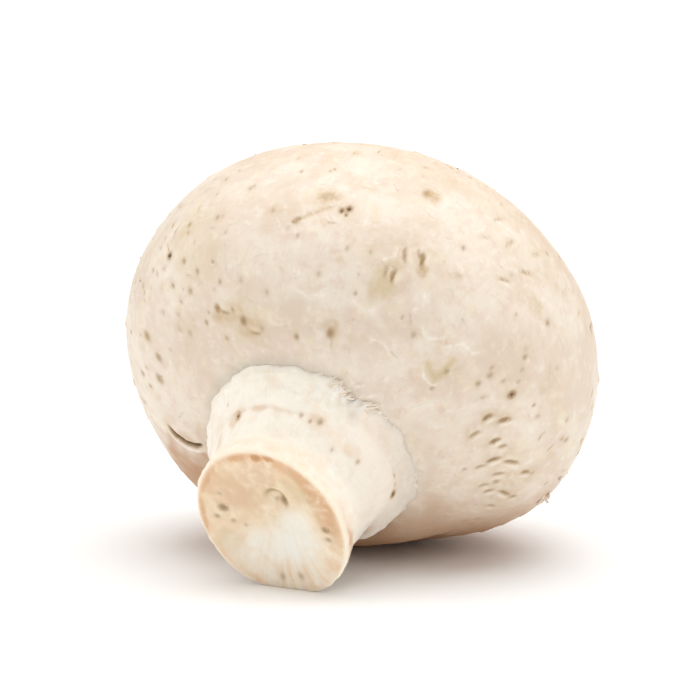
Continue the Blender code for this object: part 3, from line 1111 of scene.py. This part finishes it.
def stem_skin():
    """Collar, stem and cut face as one skin.  Its relief is a sum of cottony puffs and folds
    on the collar, lengthways streaks on the stem, and a fan of streaks, fine grain and a
    broad hollow on the cut face, with the seam under the collar, the pit and the marks."""
    line, along = respaced(stem_line(), STEM_ROWS, stem_crowding)
    bearings = crowded_bearings(STEM_COLUMNS, STEM_CROWDS)
    b, r, z, s = carried_round(bearings, *line.T, along)
    face = ease(z, FACE_START, FACE_END)
    collar = ease(z, FOLD_HEIGHT, FOLD_HEIGHT + 1.2)
    radius, height, depth = formed_stem(line, along, bearings)
    plain = grown(radius, height, b)
    normal = outward_normals(plain, row_at(line, SIDE_HEIGHT))
    skin = Skin(plain, normal, fibre_grid(b, s), STEM_MARK_MASKS)

    # The seam: a groove that wanders round under the collar, with a swelling above it.
    level = 0 * b
    seam_wave = 0.35 * streaks(b, level, 7, 1, 56) + 0.15 * streaks(b, level, 26, 1, 57)
    over_seam = height - SEAM_HEIGHT - seam_wave
    seam_part = bell(turn_between(b, SEAM_BEARING), SEAM_WIDTH)
    skin.relief += 0.20 * bell(over_seam - 0.9, 0.8) * seam_part
    skin.relief -= 0.10 * bell(over_seam, 0.22) * seam_part

    # The collar, the side of the stem, and the cut face.
    puff = 0.30 * grain(plain, 3.4, 41) + 0.17 * layered_grain(plain, 1.4, 42)
    skin.relief += collar * (puff + 0.06 * streaks(b, s, 44, 6, 43))
    folds = np.sin(2 * math.pi * (height + 0.9 * grain(plain, 4, 61)) / 1.5)
    skin.relief += 0.05 * folds * collar * bell(turn_between(b, -95), 60)
    side = (1 - face) * (1 - collar)
    skin.relief += side * 0.10 * streaks(b, s, 40, 8, 44)
    skin.relief += side * (0.09 * layered_grain(plain, 1.5, 45) + 0.14 * grain(plain, 4, 48))
    across_fan = turn_between(b, FAN_BEARING) + 22 * grain(plain, 3.0, 60)
    fan = bell(across_fan, FAN_WIDTH) * ease(r, 0.8, 2.8)
    outer_fan = fan * ease(r, 2.0, 5.0)
    skin.relief += face * outer_fan * 0.08 * streaks(b, s, 44, 10, 46)
    skin.relief += face * fan * 0.03 * streaks(b, s, 95, 12, 55)
    skin.relief -= face * 0.25 * bell(r, 5.0)
    skin.relief += face * (0.07 * grain(plain, 5, 47) + 0.022 * layered_grain(plain, 1.0, 49))
    add_pit(skin, r, b, face)
    add_stem_marks(skin)
    loosen_notch(skin)

    # The cut face and its rim, the skin's pale edge round it, the fan, the seam, painted shade on
    # the fold's floor and on the right lobe, and the peach tint towards the rim.
    broken = ease(grain(plain, 1.3, 58), -0.25, 0.45)
    top = 0.5 + 0.5 * np.cos(np.radians(turn_between(b, -60)))
    # Painted shade: brown on the floor of the fold under the collar.
    fold = bell(z - FOLD_HEIGHT + 0.1, 0.75) * (1 - face) * depth
    upper_peach = bell(turn_between(b, -85), 70) * ease(height, -22.5, -27.0)
    right_peach = bell(turn_between(b, 0), 60) * ease(height, -24.6, -27.2)
    skin.masks |= {
        "face": face,
        "rim": face * ease(r + grain(plain, 2.4, 53) + top, 7.3, 9.5),
        "skin_edge": bell(np.hypot(r - 8.95, 0.7 * (z + 27.75)), 0.28),
        "fan": face * (0.45 * fan + 0.55 * outer_fan),
        "seam": 0.42 * bell(over_seam, 0.36) * seam_part * broken,
        "fold": fold * (0.6 + 0.4 * broken),
        # Painted shade: the right lobe is dulled to a grey beige.
        "lobe_shade": bell(turn_between(b, 14), 44) * ease(height, -26.0, -19.0) * (1 - face),
        "peach": (1 - face) * np.maximum(upper_peach, right_peach),
    }
    return skin


def add_pit(skin, r, b, face):
    """A shallow pit with a steep wall and a low brim on one side, stained green and brown along
    the wall like a crescent with a dark end, partly as painted shade on that wall, and a floor
    that runs out gently on the other side."""
    steep = bell(turn_between(b, PIT_WALL_BEARING), 80)
    wall = ease(r, 1.50, 0.80)
    skin.relief -= face * wall * (0.10 + 0.36 * steep)
    skin.relief += face * 0.10 * bell(r - 1.85, 0.40) * steep
    # Partly painted shade: the crescent darkens the pit's steep wall as well as staining it.
    shade_and_stain_crescent = bell(r - 1.30, 0.30) * bell(turn_between(b, PIT_WALL_BEARING), 72)
    end = bell(r - 1.00, 0.45) * bell(turn_between(b, -10), 34)
    skin.masks["green"] = np.maximum(skin.masks["green"], face * np.maximum(shade_and_stain_crescent, end))
    dark = 0.46 * shade_and_stain_crescent + 0.62 * end
    skin.masks["stain"] = np.maximum(skin.masks["stain"], face * dark)


def add_stem_marks(skin):
    """Specks and blotches on the collar, the stem and the cut face."""
    for bearing, height, radius, size, dark in COLLAR_SPECKS:
        speck(skin.spot_around((bearing, height, radius), 6 * size), size, dark)
    for k, (bearing, height, radius, width, tall, mask, amount) in enumerate(COLLAR_PATCHES):
        here = skin.spot_around((bearing, height, radius), 2.2 * max(width, tall))
        patch(here, width, tall, mask, amount, 0.4, 200 + k)
    for bearing, radius, size, dark in FACE_SPECKS:
        speck(skin.spot_around((bearing, -STEM_LENGTH, radius), 6 * size), size, dark)
    for k, (bearing, radius, width, height, mask, amount) in enumerate(FACE_PATCHES):
        here = skin.spot_around((bearing, -STEM_LENGTH, radius), 2.2 * max(width, height))
        patch(here, width, height, mask, amount, 0.3, 100 + k)


def loosen_notch(skin):
    """At the notch: a valley with a low bank, lumpy fluff, and raised threads across."""
    valley = skin.spot_around(VALLEY_PLACE, 5.5)
    gap, share = valley.to_line([valley.flat(skin.around(*place)) for place in VALLEY_PATH])
    valley.raise_by(-0.30 * bell(gap, 0.55) * ease(share, 1.0, 0.3))
    valley.raise_by(0.16 * bell(gap - 1.2, 0.8) * ease(share, 1.0, 0.4))
    fluff = skin.spot_around(FLUFF_PLACE, 4.5)
    lumps = layered_grain(skin.plain[fluff.rows], 0.9, 59, 2)
    fluff.raise_by(0.30 * lumps * bell(np.hypot(fluff.x, fluff.y), 2.6))
    fluff.tint("pale", 0.8 * ease(lumps, -0.1, 0.5) * bell(np.hypot(fluff.x, fluff.y), 2.2))
    for places in STUCK_THREADS:
        spots = [skin.around(*place) for place in places]
        here = Spot(skin, spots[1], 4)
        gap, ends = ridge(here, [here.flat(at) for at in spots], 0.22, 0.28)
        here.tint("pale", bell(gap, 0.3) * ends)


# ---------------------------------------------------------------- crumbs, flakes and threads


def lump_shape():
    """A small ball, as unit points: a pole, level rings of points, and a pole."""
    turn = np.arange(LUMP_COLUMNS) * 2 * math.pi / LUMP_COLUMNS
    around, up = carried_round(turn, LUMP_RING_SLOPES)
    ring = np.stack([np.cos(up) * np.cos(around), np.cos(up) * np.sin(around), np.sin(up)], -1)
    return np.concatenate([[[0, 0, 1.0]], ring.reshape(-1, 3), [[0, 0, -1.0]]])


def repeated(name, shapes, rings, columns):
    """One mesh from many closed tubes with the same faces: shapes is (how many, points, 3),
    in the mushroom's own frame."""
    corners, sizes = tube_faces(rings, columns)
    count, each = shapes.shape[:2]
    all_corners = (corners + each * np.arange(count)[:, None]).ravel()
    mesh = bpy.data.meshes.new(name)
    fill_mesh(mesh, at_rest(shapes.reshape(-1, 3)), all_corners, np.tile(sizes, count))
    return mesh


def build_crumbs(cap, stem):
    """Crumbs of growing peat stuck to the skin: each is a small ball whose points are drawn
    in or out by chance, flattened, turned by chance, and half sunk in the skin."""
    chance = np.random.default_rng(71)
    places = []
    for bearing, slope, size, dark in CAP_SPECKS:
        if dark >= CRUMB_DARKNESS:
            places.append((cap, cap.towards(bearing, slope), 0.7 * size))
    for bearing, height, radius, size, dark in COLLAR_SPECKS:
        if dark >= CRUMB_DARKNESS_BELOW:
            places.append((stem, stem.around(bearing, height, radius), 0.6 * size))
    for centre, spread, low, high, count in CRUMB_PATCHES:
        for _ in range(count):
            place = chance.normal(centre, spread), chance.uniform(low, high)
            places.append((cap, cap.towards(*place), chance.uniform(0.06, 0.14)))
    ball = lump_shape()
    shapes = []
    for skin, at, size in places:
        axes = np.array(skin.axes(at, chance.uniform(0, 360)))
        stretch = chance.uniform((0.8, 0.7, 0.35), (1.5, 1.0, 0.7))
        rough = ball * chance.uniform(0.7, 1.25, (len(ball), 1)) * stretch * size
        centre = skin.finished_at(at) + axes[2] * 0.05 * size
        shapes.append(centre + rough @ axes)
    mesh = repeated("peat_crumbs", np.array(shapes), LUMP_RINGS, LUMP_COLUMNS)
    show("peat_crumbs", mesh, peat_material())


def spindle(base, way, out, length, width, thickness, lift, bow):
    """A flat tapering flake or fibre.  Along it (t from 0 to 1) the middle goes out by
    length times t, rises by lift times t squared, and bows aside by 4 bow t (1 - t); across
    it is an oval that swells soonest near the root, as sin(pi t^0.7) to the power 0.8."""
    t = SPINDLE_SHARES
    side = np.cross(out, way)
    middle = (
        base
        + way * (length * t)[:, None]
        + out * (lift * t**2)[:, None]
        + side * (bow * 4 * t * (1 - t))[:, None]
    )
    swell = np.sin(math.pi * t**0.7) ** 0.8
    turn = np.arange(SPINDLE_COLUMNS) * 2 * math.pi / SPINDLE_COLUMNS
    across = np.cos(turn)[None, :, None] * side * (width * swell)[:, None, None]
    through = np.sin(turn)[None, :, None] * out * (thickness * swell)[:, None, None]
    rings = middle[:, None, :] - across + through
    start = base - out * SPINDLE_ROOT
    tip = base + way * length + out * lift
    return np.concatenate([[start], rings.reshape(-1, 3), [tip]])


def strand(skin, at, turn, length, width, lift, bow, thickness):
    """A spindle rooted at a grid place; it heads up the mushroom, turned towards the right by
    an angle in degrees."""
    _, way, normal = skin.axes(at, -turn)
    base = skin.finished_at(at) - normal * STRAND_SINK
    return spindle(base, way, normal, length, width, thickness, lift, bow)


def build_shreds(cap, material):
    """Small white shreds on the right flank: each is a dented ball, stretched and flattened,
    that stands up from the skin."""
    chance = np.random.default_rng(91)
    ball = lump_shape()
    shapes = []
    for bearing, slope, turn, rise, size in SHREDS:
        at = cap.towards(bearing, slope)
        right, way, normal = cap.axes(at, -turn)
        up = math.radians(rise)
        long_way = math.cos(up) * way + math.sin(up) * normal
        axes = np.array([long_way, -right, np.cross(long_way, -right)])
        rough = ball * chance.uniform(0.6, 1.35, (len(ball), 1)) * size
        shapes.append(cap.finished_at(at) + long_way * 0.55 * size[0] + rough @ axes)
    mesh = repeated("skin_shreds", np.array(shapes), LUMP_RINGS, LUMP_COLUMNS)
    show("skin_shreds", mesh, material)


def build_threads(stem, material):
    """Cottony threads of the torn veil: a tuft across the notch, and short ones round the
    collar's edge, a third of them near the notch and a third on the right."""
    chance = np.random.default_rng(83)
    shapes = []
    for _ in range(TUFT_COUNT):
        bearing = chance.normal(NOTCH_BEARING - 4, 7)
        height = CREASE_HEIGHT - chance.uniform(0.1, 1.4)
        radius = 11.4 - 0.4 * bell(bearing - NOTCH_BEARING, 7)
        at = stem.around(bearing, height, radius)
        length, width = chance.uniform(1.2, 3.2), chance.uniform(0.06, 0.15)
        turn, bow = chance.normal(38, 24), chance.normal(0, 0.40)
        lift = chance.uniform(0.0, 0.45)
        shapes.append(strand(stem, at, turn, length, width, lift, bow, 0.07))
    for k in range(THREAD_COUNT):
        bearing = chance.uniform(-180, 180)
        if k % 3 == 0:
            bearing = chance.normal(NOTCH_BEARING + 4, 8)
        elif k % 3 == 1:
            bearing = chance.normal(0, 22)
        lobes = math.cos(COLLAR_LOBES * (math.radians(bearing) - LOBE_START))
        radius = COLLAR_EDGE_RADIUS - 0.1 + LOBE_HEIGHT * lobes
        radius -= 0.9 * bell(bearing - NOTCH_BEARING, 8)
        at = stem.around(bearing, CREASE_HEIGHT - chance.uniform(-0.1, 0.6), radius)
        length, width = chance.uniform(0.5, 1.3), chance.uniform(0.05, 0.11)
        turn, bow = chance.normal(0, 32), chance.normal(0, 0.12)
        shapes.append(strand(stem, at, turn, length, width, 0.05, bow, 0.06))
    mesh = repeated("collar_threads", np.array(shapes), SPINDLE_RINGS, SPINDLE_COLUMNS)
    show("collar_threads", mesh, material)


def build_flakes(cap):
    """Fibrous scales of torn skin that lie over the crown and the far sides, with their tips
    away from the crown.  An attribute runs from 0 at each root to 1 at each tip."""
    chance = np.random.default_rng(81)
    shapes = []
    for _ in range(FLAKE_COUNT):
        bearing, slope = chance.uniform(-180, 180), 80 - 100 * chance.uniform() ** 0.8
        if chance.uniform() < 0.97 * in_view(bearing, slope):
            continue
        at = cap.towards(bearing, slope)
        length, width = chance.uniform(0.8, 2.6), chance.uniform(0.05, 0.20)
        turn, lift = 180 + chance.normal(0, 16), chance.uniform(-0.10, 0.03)
        bow = chance.normal(0, 0.10)
        shapes.append(strand(cap, at, turn, length, width, lift, bow, 0.045))
    mesh = repeated("torn_skin", np.array(shapes), SPINDLE_RINGS, SPINDLE_COLUMNS)
    along = np.concatenate([[0], np.repeat(SPINDLE_SHARES, SPINDLE_COLUMNS), [1]])
    tip = mesh.attributes.new("tip", "FLOAT", "POINT")
    tip.data.foreach_set("value", np.tile(along, len(shapes)).astype(np.float32))
    show("torn_skin", mesh, flake_material())


# ---------------------------------------------------------------- materials

# Colours are screen values from 0 to 255.
CREAM, DEEP_CREAM = (237, 226, 211), (225, 209, 190)
WEAK_STAIN, STRONG_STAIN = (183, 155, 120), (104, 80, 54)

# Tones mottled over the cap's skin, one over another: the size of the lumps, how a pattern is
# squeezed along each axis, detail, roughness, low and high cut, and colour.
SKIN_MOTTLE = (
    (2.4, (1, 1, 1), 4, 0.6, 0.50, 0.78, (224, 204, 180)),
    (1.7, (1, 1.3, 1), 4, 0.6, 0.48, 0.80, (230, 209, 195)),
    (3.1, (1.2, 1, 1), 3, 0.6, 0.52, 0.80, (236, 224, 200)),
    (1.1, (1, 1, 1), 3, 0.6, 0.50, 0.95, (247, 240, 229)),
)


def rgb(red, green, blue):
    """A colour given as screen values from 0 to 255, as the shader's linear colour."""
    parts = [v / 255 for v in (red, green, blue)]
    linear = [p / 12.92 if p <= 0.04045 else ((p + 0.055) / 1.055) ** 2.4 for p in parts]
    return (*linear, 1.0)


class Nodes:
    """Short ways to add nodes to a material and join them up."""

    def __init__(self, name):
        self.material = bpy.data.materials.new(name)
        self.material.use_nodes = True
        self.tree = self.material.node_tree
        self.shader = self.tree.nodes["Principled BSDF"]

    def add(self, kind, **settings):
        """A new node with its settings."""
        node = self.tree.nodes.new(kind)
        for key, value in settings.items():
            setattr(node, key, value)
        return node

    def join(self, output, socket):
        """Joins an output to a socket."""
        self.tree.links.new(output, socket)

    def put(self, socket, value):
        """Joins an output to a socket, or sets a plain value on it."""
        if isinstance(value, bpy.types.NodeSocket):
            self.join(value, socket)
        else:
            socket.default_value = value

    def attribute(self, name, vector=False):
        """What a mask of the mesh holds."""
        node = self.add("ShaderNodeAttribute", attribute_name=name)
        return node.outputs["Vector" if vector else "Fac"]

    def squeezed(self, vector, scale):
        """The vector times a scale along each axis, which squeezes a pattern that many times."""
        mapping = self.add("ShaderNodeMapping")
        mapping.inputs["Scale"].default_value = scale
        self.join(vector, mapping.inputs["Vector"])
        return mapping.outputs["Vector"]

    def place(self):
        """Object coordinates in millimetres."""
        coordinates = self.add("ShaderNodeTexCoord")
        return self.squeezed(coordinates.outputs["Object"], (1 / MM, 1 / MM, 1 / MM))

    def noise(self, vector, size, detail=3.0, rough=0.5):
        """Noise about 0.5, with lumps of the given size in the vector's unit."""
        node = self.add("ShaderNodeTexNoise")
        self.join(vector, node.inputs["Vector"])
        node.inputs["Scale"].default_value = 1 / size
        node.inputs["Detail"].default_value = detail
        node.inputs["Roughness"].default_value = rough
        return node.outputs["Fac"]

    def between(self, value, low, high):
        """0 below low, 1 above high, smooth between."""
        node = self.add("ShaderNodeMapRange", interpolation_type="SMOOTHSTEP")
        self.put(node.inputs["Value"], value)
        node.inputs["From Min"].default_value = low
        node.inputs["From Max"].default_value = high
        return node.outputs["Result"]

    def patches(self, vector, size, low, high, detail=3.0, rough=0.6):
        """Soft patches of the given size: noise that is 0 below low and 1 above high."""
        return self.between(self.noise(vector, size, detail, rough), low, high)

    def lines(self, vector, size, width):
        """1 along the thin, wandering lines where a noise passes through its middle."""
        away = self.maths("SUBTRACT", self.noise(vector, size, 1, 0.4), 0.5)
        return self.between(self.maths("ABSOLUTE", away, 0), width, 0.15 * width)

    def maths(self, operation, a, b):
        """One sum on two numbers."""
        node = self.add("ShaderNodeMath", operation=operation)
        self.put(node.inputs[0], a)
        self.put(node.inputs[1], b)
        return node.outputs[0]

    def times(self, a, b):
        """The product of two numbers."""
        return self.maths("MULTIPLY", a, b)

    def blend(self, share, first, second):
        """The first colour where the share is 0, and the second where it is 1."""
        node = self.add("ShaderNodeMix", data_type="RGBA", clamp_factor=True)
        self.put(node.inputs["Factor"], share)
        self.put(node.inputs[6], first)
        self.put(node.inputs[7], second)
        return node.outputs[2]

    def coloured(self, base, share, *colour):
        """The base, turned to a colour by a share."""
        return self.blend(share, base, rgb(*colour))

    def stained(self, base):
        """The base stained light brown where the stain is weak, and dark where it is strong."""
        crumbly = self.patches(self.place(), 0.42, 0.05, 0.48)
        stain = self.times(self.attribute("stain"), crumbly)
        weak = self.coloured(base, self.between(stain, 0.0, 0.55), *WEAK_STAIN)
        return self.coloured(weak, self.between(stain, 0.45, 1.0), *STRONG_STAIN)

    def bump(self, height, strength, distance, under=None):
        """A normal that is bumped by a height, over the bumps underneath; the distance is in
        metres."""
        node = self.add("ShaderNodeBump")
        node.inputs["Strength"].default_value = strength
        node.inputs["Distance"].default_value = distance
        self.join(height, node.inputs["Height"])
        if under is not None:
            self.join(under, node.inputs["Normal"])
        return node.outputs["Normal"]

    def finish(self, colour, normal, roughness, specular):
        """Joins up the shader, and gives the material."""
        self.join(colour, self.shader.inputs["Base Color"])
        self.shader.inputs["Roughness"].default_value = roughness
        self.shader.inputs["Specular IOR Level"].default_value = specular
        if normal is not None:
            self.join(normal, self.shader.inputs["Normal"])
        return self.material

    def finish_flesh(self, colour, normal, roughness):
        """As finish, for moist flesh: light sinks in a little, and the gloss is low and waxy."""
        self.shader.inputs["Subsurface Weight"].default_value = 0.45
        self.shader.inputs["Subsurface Radius"].default_value = (1.0, 0.86, 0.74)
        self.shader.inputs["Subsurface Scale"].default_value = 0.0009
        return self.finish(colour, normal, roughness, 0.30)


def skin_material():
    """Matt, silky skin: cream, mottled with tan, with fine fibres that run from the crown to
    the collar, and the marks' own colours."""
    m = Nodes("cap_skin")
    place = m.place()
    fibre = m.attribute("fibre", vector=True)
    hairs = m.noise(m.squeezed(fibre, (9, 9, 0.55)), 1.0, 3, 0.6)

    # The mottled skin.
    deeper = m.patches(place, 7, 0.40, 0.66, 4, 0.55)
    base = m.blend(deeper, rgb(*CREAM), rgb(*DEEP_CREAM))
    for size, squeeze, detail, rough, low, high, colour in SKIN_MOTTLE:
        lumps = m.patches(m.squeezed(place, squeeze), size, low, high, detail, rough)
        base = m.coloured(base, lumps, *colour)
    base = m.coloured(base, m.times(m.between(hairs, 0.50, 0.80), 0.5), 228, 206, 184)
    freckles = m.patches(place, 0.55, 0.68, 0.80, 2, 0.5)
    base = m.coloured(base, m.times(freckles, 0.45), 205, 178, 150)

    # The crown is browner, clouded and stroked along its fibres; painted shade browns the skin by
    # the ground.
    crown = m.attribute("crown")
    clouds = m.patches(place, 4.5, 0.36, 0.78, 6, 0.62)
    strokes = m.patches(m.squeezed(fibre, (4, 4, 0.35)), 1.0, 0.50, 0.78, 5, 0.65)
    base = m.coloured(base, m.times(crown, 0.22), 226, 198, 166)
    base = m.coloured(base, m.times(m.times(crown, clouds), 0.50), 218, 186, 152)
    base = m.coloured(base, m.times(m.times(crown, strokes), 0.55), 206, 170, 132)
    ground = m.attribute("ground")
    base = m.coloured(base, ground, 188, 141, 100)

    # The marks' tan and green, painted shade and the white fluff by the collar, and pale lips.
    tan = m.times(m.attribute("tan"), m.patches(place, 0.9, 0.15, 0.65, 4, 0.55))
    base = m.coloured(base, tan, 208, 182, 146)
    base = m.coloured(base, m.attribute("green"), 216, 197, 158)
    base = m.coloured(base, m.times(m.attribute("edge"), 0.6), 206, 198, 182)
    fringe = m.times(m.attribute("fringe"), m.patches(place, 0.9, 0.25, 0.70, 4))
    base = m.coloured(base, m.times(fringe, 0.6), 250, 242, 230)
    base = m.coloured(base, m.attribute("pale"), 252, 242, 228)

    # Fine lines: the masks' threads and creases, with a wobble, then faint veins and wrinkles.
    wobble = m.times(m.maths("SUBTRACT", m.noise(place, 0.7, 3, 0.6), 0.5), 0.5)
    thread = m.between(m.maths("ADD", m.attribute("thread"), wobble), 0.80, 1.0)
    crease = m.between(m.maths("ADD", m.attribute("crease"), wobble), 0.80, 1.0)
    base = m.coloured(base, m.times(thread, 0.45), 253, 246, 236)
    base = m.coloured(base, m.times(crease, 0.30), 196, 168, 138)
    drifts = m.patches(place, 3.0, 0.46, 0.68)
    veins = m.times(m.lines(place, 4.2, 0.055), drifts)
    wrinkles = m.times(m.lines(m.squeezed(place, (1, 1.2, 0.9)), 3.0, 0.050), drifts)
    off_ground = m.maths("SUBTRACT", 0.24, m.times(ground, 0.22))
    base = m.coloured(base, m.times(veins, off_ground), 250, 243, 233)
    base = m.coloured(base, m.times(wrinkles, 0.10), 204, 182, 156)

    normal = m.bump(m.noise(place, 1.0, 3, 0.55), 0.5, 0.00018)
    normal = m.bump(m.maths("SUBTRACT", veins, wrinkles), 0.7, 0.00006, normal)
    normal = m.bump(m.maths("SUBTRACT", thread, crease), 0.8, 0.00008, normal)
    normal = m.bump(hairs, 0.45, 0.00008, normal)
    normal = m.bump(m.noise(place, 0.30, 4, 0.6), 0.35, 0.00006, normal)
    return m.finish_flesh(m.stained(base), normal, 0.50)


def cut_colour(m, place, fibre, grains):
    """The cut face: tan, with a fan of pale streaks from the pit and a browner rim."""
    cut = m.blend(m.between(grains, 0.30, 0.74), rgb(249, 233, 208), rgb(238, 215, 181))
    cut = m.coloured(cut, m.patches(place, 3.2, 0.36, 0.66, 3, 0.5), 241, 216, 184)
    broad = m.patches(m.squeezed(fibre, (1, 1, 0.16)), 1.0, 0.25, 0.72, 2, 0.5)
    narrow = m.patches(m.squeezed(fibre, (1, 1, 0.08)), 0.35, 0.25, 0.75)
    rays = m.maths("ADD", m.times(broad, 0.60), m.times(narrow, 0.36))
    cut = m.coloured(cut, m.times(m.attribute("fan"), rays), 255, 249, 240)
    rim = m.times(m.attribute("rim"), m.times(m.patches(place, 1.8, 0.26, 0.70, 3, 0.55), 0.8))
    return m.blend(rim, cut, m.blend(m.noise(place, 4.0), rgb(232, 192, 144), rgb(220, 170, 134)))


def stem_material():
    """Whiter, cottony flesh on the collar and stem, with the cut face's own colours."""
    m = Nodes("collar_and_stem")
    place = m.place()
    fibre = m.attribute("fibre", vector=True)
    threads = m.noise(m.squeezed(fibre, (7, 7, 0.4)), 1.0, 4, 0.6)
    grains = m.noise(place, 0.9)

    base = m.blend(m.patches(place, 2.6, 0.45, 0.72, 4), rgb(252, 243, 231), rgb(246, 232, 215))
    base = m.coloured(base, m.times(m.between(threads, 0.5, 0.8), 0.5), 238, 223, 204)
    base = m.coloured(base, m.attribute("seam"), 222, 194, 160)
    # Painted shade: brown in the fold under the collar, then a duller right lobe.
    base = m.coloured(base, m.attribute("fold"), 196, 156, 116)
    base = m.coloured(base, m.times(m.attribute("lobe_shade"), 0.9), 230, 219, 205)
    peach = m.times(m.attribute("peach"), m.times(m.patches(place, 1.6, 0.20, 0.70, 4), 0.75))
    base = m.coloured(base, peach, 243, 222, 198)
    base = m.blend(m.attribute("face"), base, cut_colour(m, place, fibre, grains))
    tan = m.times(m.attribute("tan"), m.between(grains, 0.0, 0.60))
    base = m.coloured(base, m.times(tan, 0.9), 222, 190, 156)
    amber = m.times(m.attribute("amber"), m.between(grains, 0.0, 0.55))
    base = m.coloured(base, amber, 212, 160, 112)
    base = m.coloured(base, m.attribute("green"), 176, 156, 96)
    base = m.coloured(base, m.attribute("skin_edge"), 254, 240, 220)
    base = m.coloured(base, m.attribute("pale"), 255, 250, 242)

    cotton = m.noise(m.squeezed(place, (1, 0.8, 1.1)), 1.3, 4, 0.55)
    normal = m.bump(cotton, 0.7, 0.00025)
    normal = m.bump(threads, 0.5, 0.00010, normal)
    normal = m.bump(grains, 0.5, 0.00012, normal)
    normal = m.bump(m.noise(place, 0.25, 4, 0.6), 0.5, 0.00006, normal)
    return m.finish_flesh(m.stained(base), normal, 0.58)


def peat_material():
    """Dark, dry, crumbly peat."""
    m = Nodes("peat")
    tone = m.noise(m.place(), 0.2, 4, 0.6)
    base = m.blend(m.between(tone, 0.35, 0.65), rgb(112, 80, 52), rgb(158, 124, 92))
    return m.finish(base, m.bump(tone, 0.6, 0.00005), 0.85, 0.5)


def flake_material():
    """Thin torn skin: cream like the cap, with tips that have browned here and there."""
    m = Nodes("torn_skin")
    place = m.place()
    base = m.blend(m.patches(place, 2.0, 0.40, 0.70), rgb(236, 219, 197), rgb(214, 188, 156))
    here_and_there = m.patches(place, 3.0, 0.35, 0.62, 2, 0.5)
    tip = m.times(m.between(m.attribute("tip"), 0.35, 1.0), here_and_there)
    base = m.coloured(base, m.times(tip, 0.8), 176, 138, 98)
    return m.finish(base, m.bump(m.noise(place, 0.2), 0.4, 0.00004), 0.60, 0.25)


def thread_material():
    """Dry white cotton: the veil's loose threads and the small white shreds."""
    m = Nodes("white_threads")
    place = m.place()
    base = m.blend(m.patches(place, 0.8, 0.35, 0.70), rgb(255, 247, 235), rgb(244, 230, 211))
    return m.finish(base, m.bump(m.noise(place, 0.25), 0.5, 0.00005), 0.75, 0.20)


# ---------------------------------------------------------------- floor, light and camera

FLOOR_HALF_WIDTH = 3.0
SKY_COLOUR, SKY_STRENGTH = (1.0, 0.985, 0.965, 1.0), 0.42
LIGHT_TARGET = (0, 0, 0.02)
SOFTBOXES = (  # name, place and size in metres, power, colour
    ("softbox_top", (0.05, 0.15, 0.90), 1.20, 9.6, (1.0, 0.990, 0.975)),
    ("softbox_front", (0.30, -0.90, 0.50), 0.60, 1.4, (1.0, 0.985, 0.965)),
    ("softbox_left", (-0.90, -0.15, 0.30), 0.60, 2.2, (1.0, 0.985, 0.96)),
    ("softbox_right", (0.90, 0.25, 0.35), 0.60, 1.35, (1.0, 0.985, 0.96)),
)
VIEW_AZIMUTH = 23.5
VIEW_ELEVATION = 11.3
CAMERA_DISTANCE = 0.90
FIELD_WIDTH = 0.076


def build_floor():
    """A wide, pale, level floor, faintly uneven in tone."""
    mesh = bpy.data.meshes.new("floor")
    half = FLOOR_HALF_WIDTH
    corners = [(-half, -half, 0), (half, -half, 0), (half, half, 0), (-half, half, 0)]
    mesh.from_pydata(corners, [], [(0, 1, 2, 3)])
    m = Nodes("floor_white")
    base = m.blend(m.noise(m.place(), 60, 2), rgb(249, 250, 252), rgb(253, 254, 255))
    mesh.materials.append(m.finish(base, None, 0.6, 0.2))
    add_object("floor", mesh)


def add_softbox(name, place, size, power, colour):
    """A square soft light at a place, facing the mushroom."""
    light = bpy.data.lights.new(name, "AREA")
    light.shape = "SQUARE"
    light.size = size
    light.energy = power
    light.color = colour
    lamp = add_object(name, light)
    lamp.location = place
    lamp.rotation_mode = "QUATERNION"
    target = Vector(LIGHT_TARGET) - Vector(place)
    lamp.rotation_quaternion = target.to_track_quat("-Z", "Y")


def light_scene():
    """A plain pale studio: an even sky and four soft lights."""
    world = bpy.data.worlds.new("studio")
    world.use_nodes = True
    sky = world.node_tree.nodes["Background"]
    sky.inputs["Color"].default_value = SKY_COLOUR
    sky.inputs["Strength"].default_value = SKY_STRENGTH
    bpy.context.scene.world = world
    for softbox in SOFTBOXES:
        add_softbox(*softbox)


def add_camera():
    """A long lens, turned to the mushroom's middle from the front right, a little above."""
    a, e = math.radians(VIEW_AZIMUTH), math.radians(VIEW_ELEVATION)
    back = Vector((math.sin(a) * math.cos(e), -math.cos(a) * math.cos(e), math.sin(e)))
    camera = bpy.data.cameras.new("camera")
    camera.lens = camera.sensor_width * CAMERA_DISTANCE / FIELD_WIDTH
    camera.clip_start, camera.clip_end = 0.01, 20
    holder = add_object("camera", camera)
    holder.location = 0.5 * (cad_low + cad_high) + back * CAMERA_DISTANCE
    holder.rotation_mode = "QUATERNION"
    holder.rotation_quaternion = (-back).to_track_quat("-Z", "Y")
    bpy.context.scene.camera = holder


def build_mushroom():
    """The two skins, which stand for the solid, and what clings to them."""
    cap, stem = cap_skin(), stem_skin()
    show("cap", skin_mesh("cap", cap), skin_material(), ["mushroom"])
    show("stem", skin_mesh("stem", stem), stem_material(), ["mushroom"])
    build_crumbs(cap, stem)
    build_flakes(cap)
    cotton = thread_material()
    build_threads(stem, cotton)
    build_shreds(cap, cotton)


build_mushroom()
build_floor()
light_scene()
add_camera()
bpy.context.scene.view_settings.view_transform = "Standard"
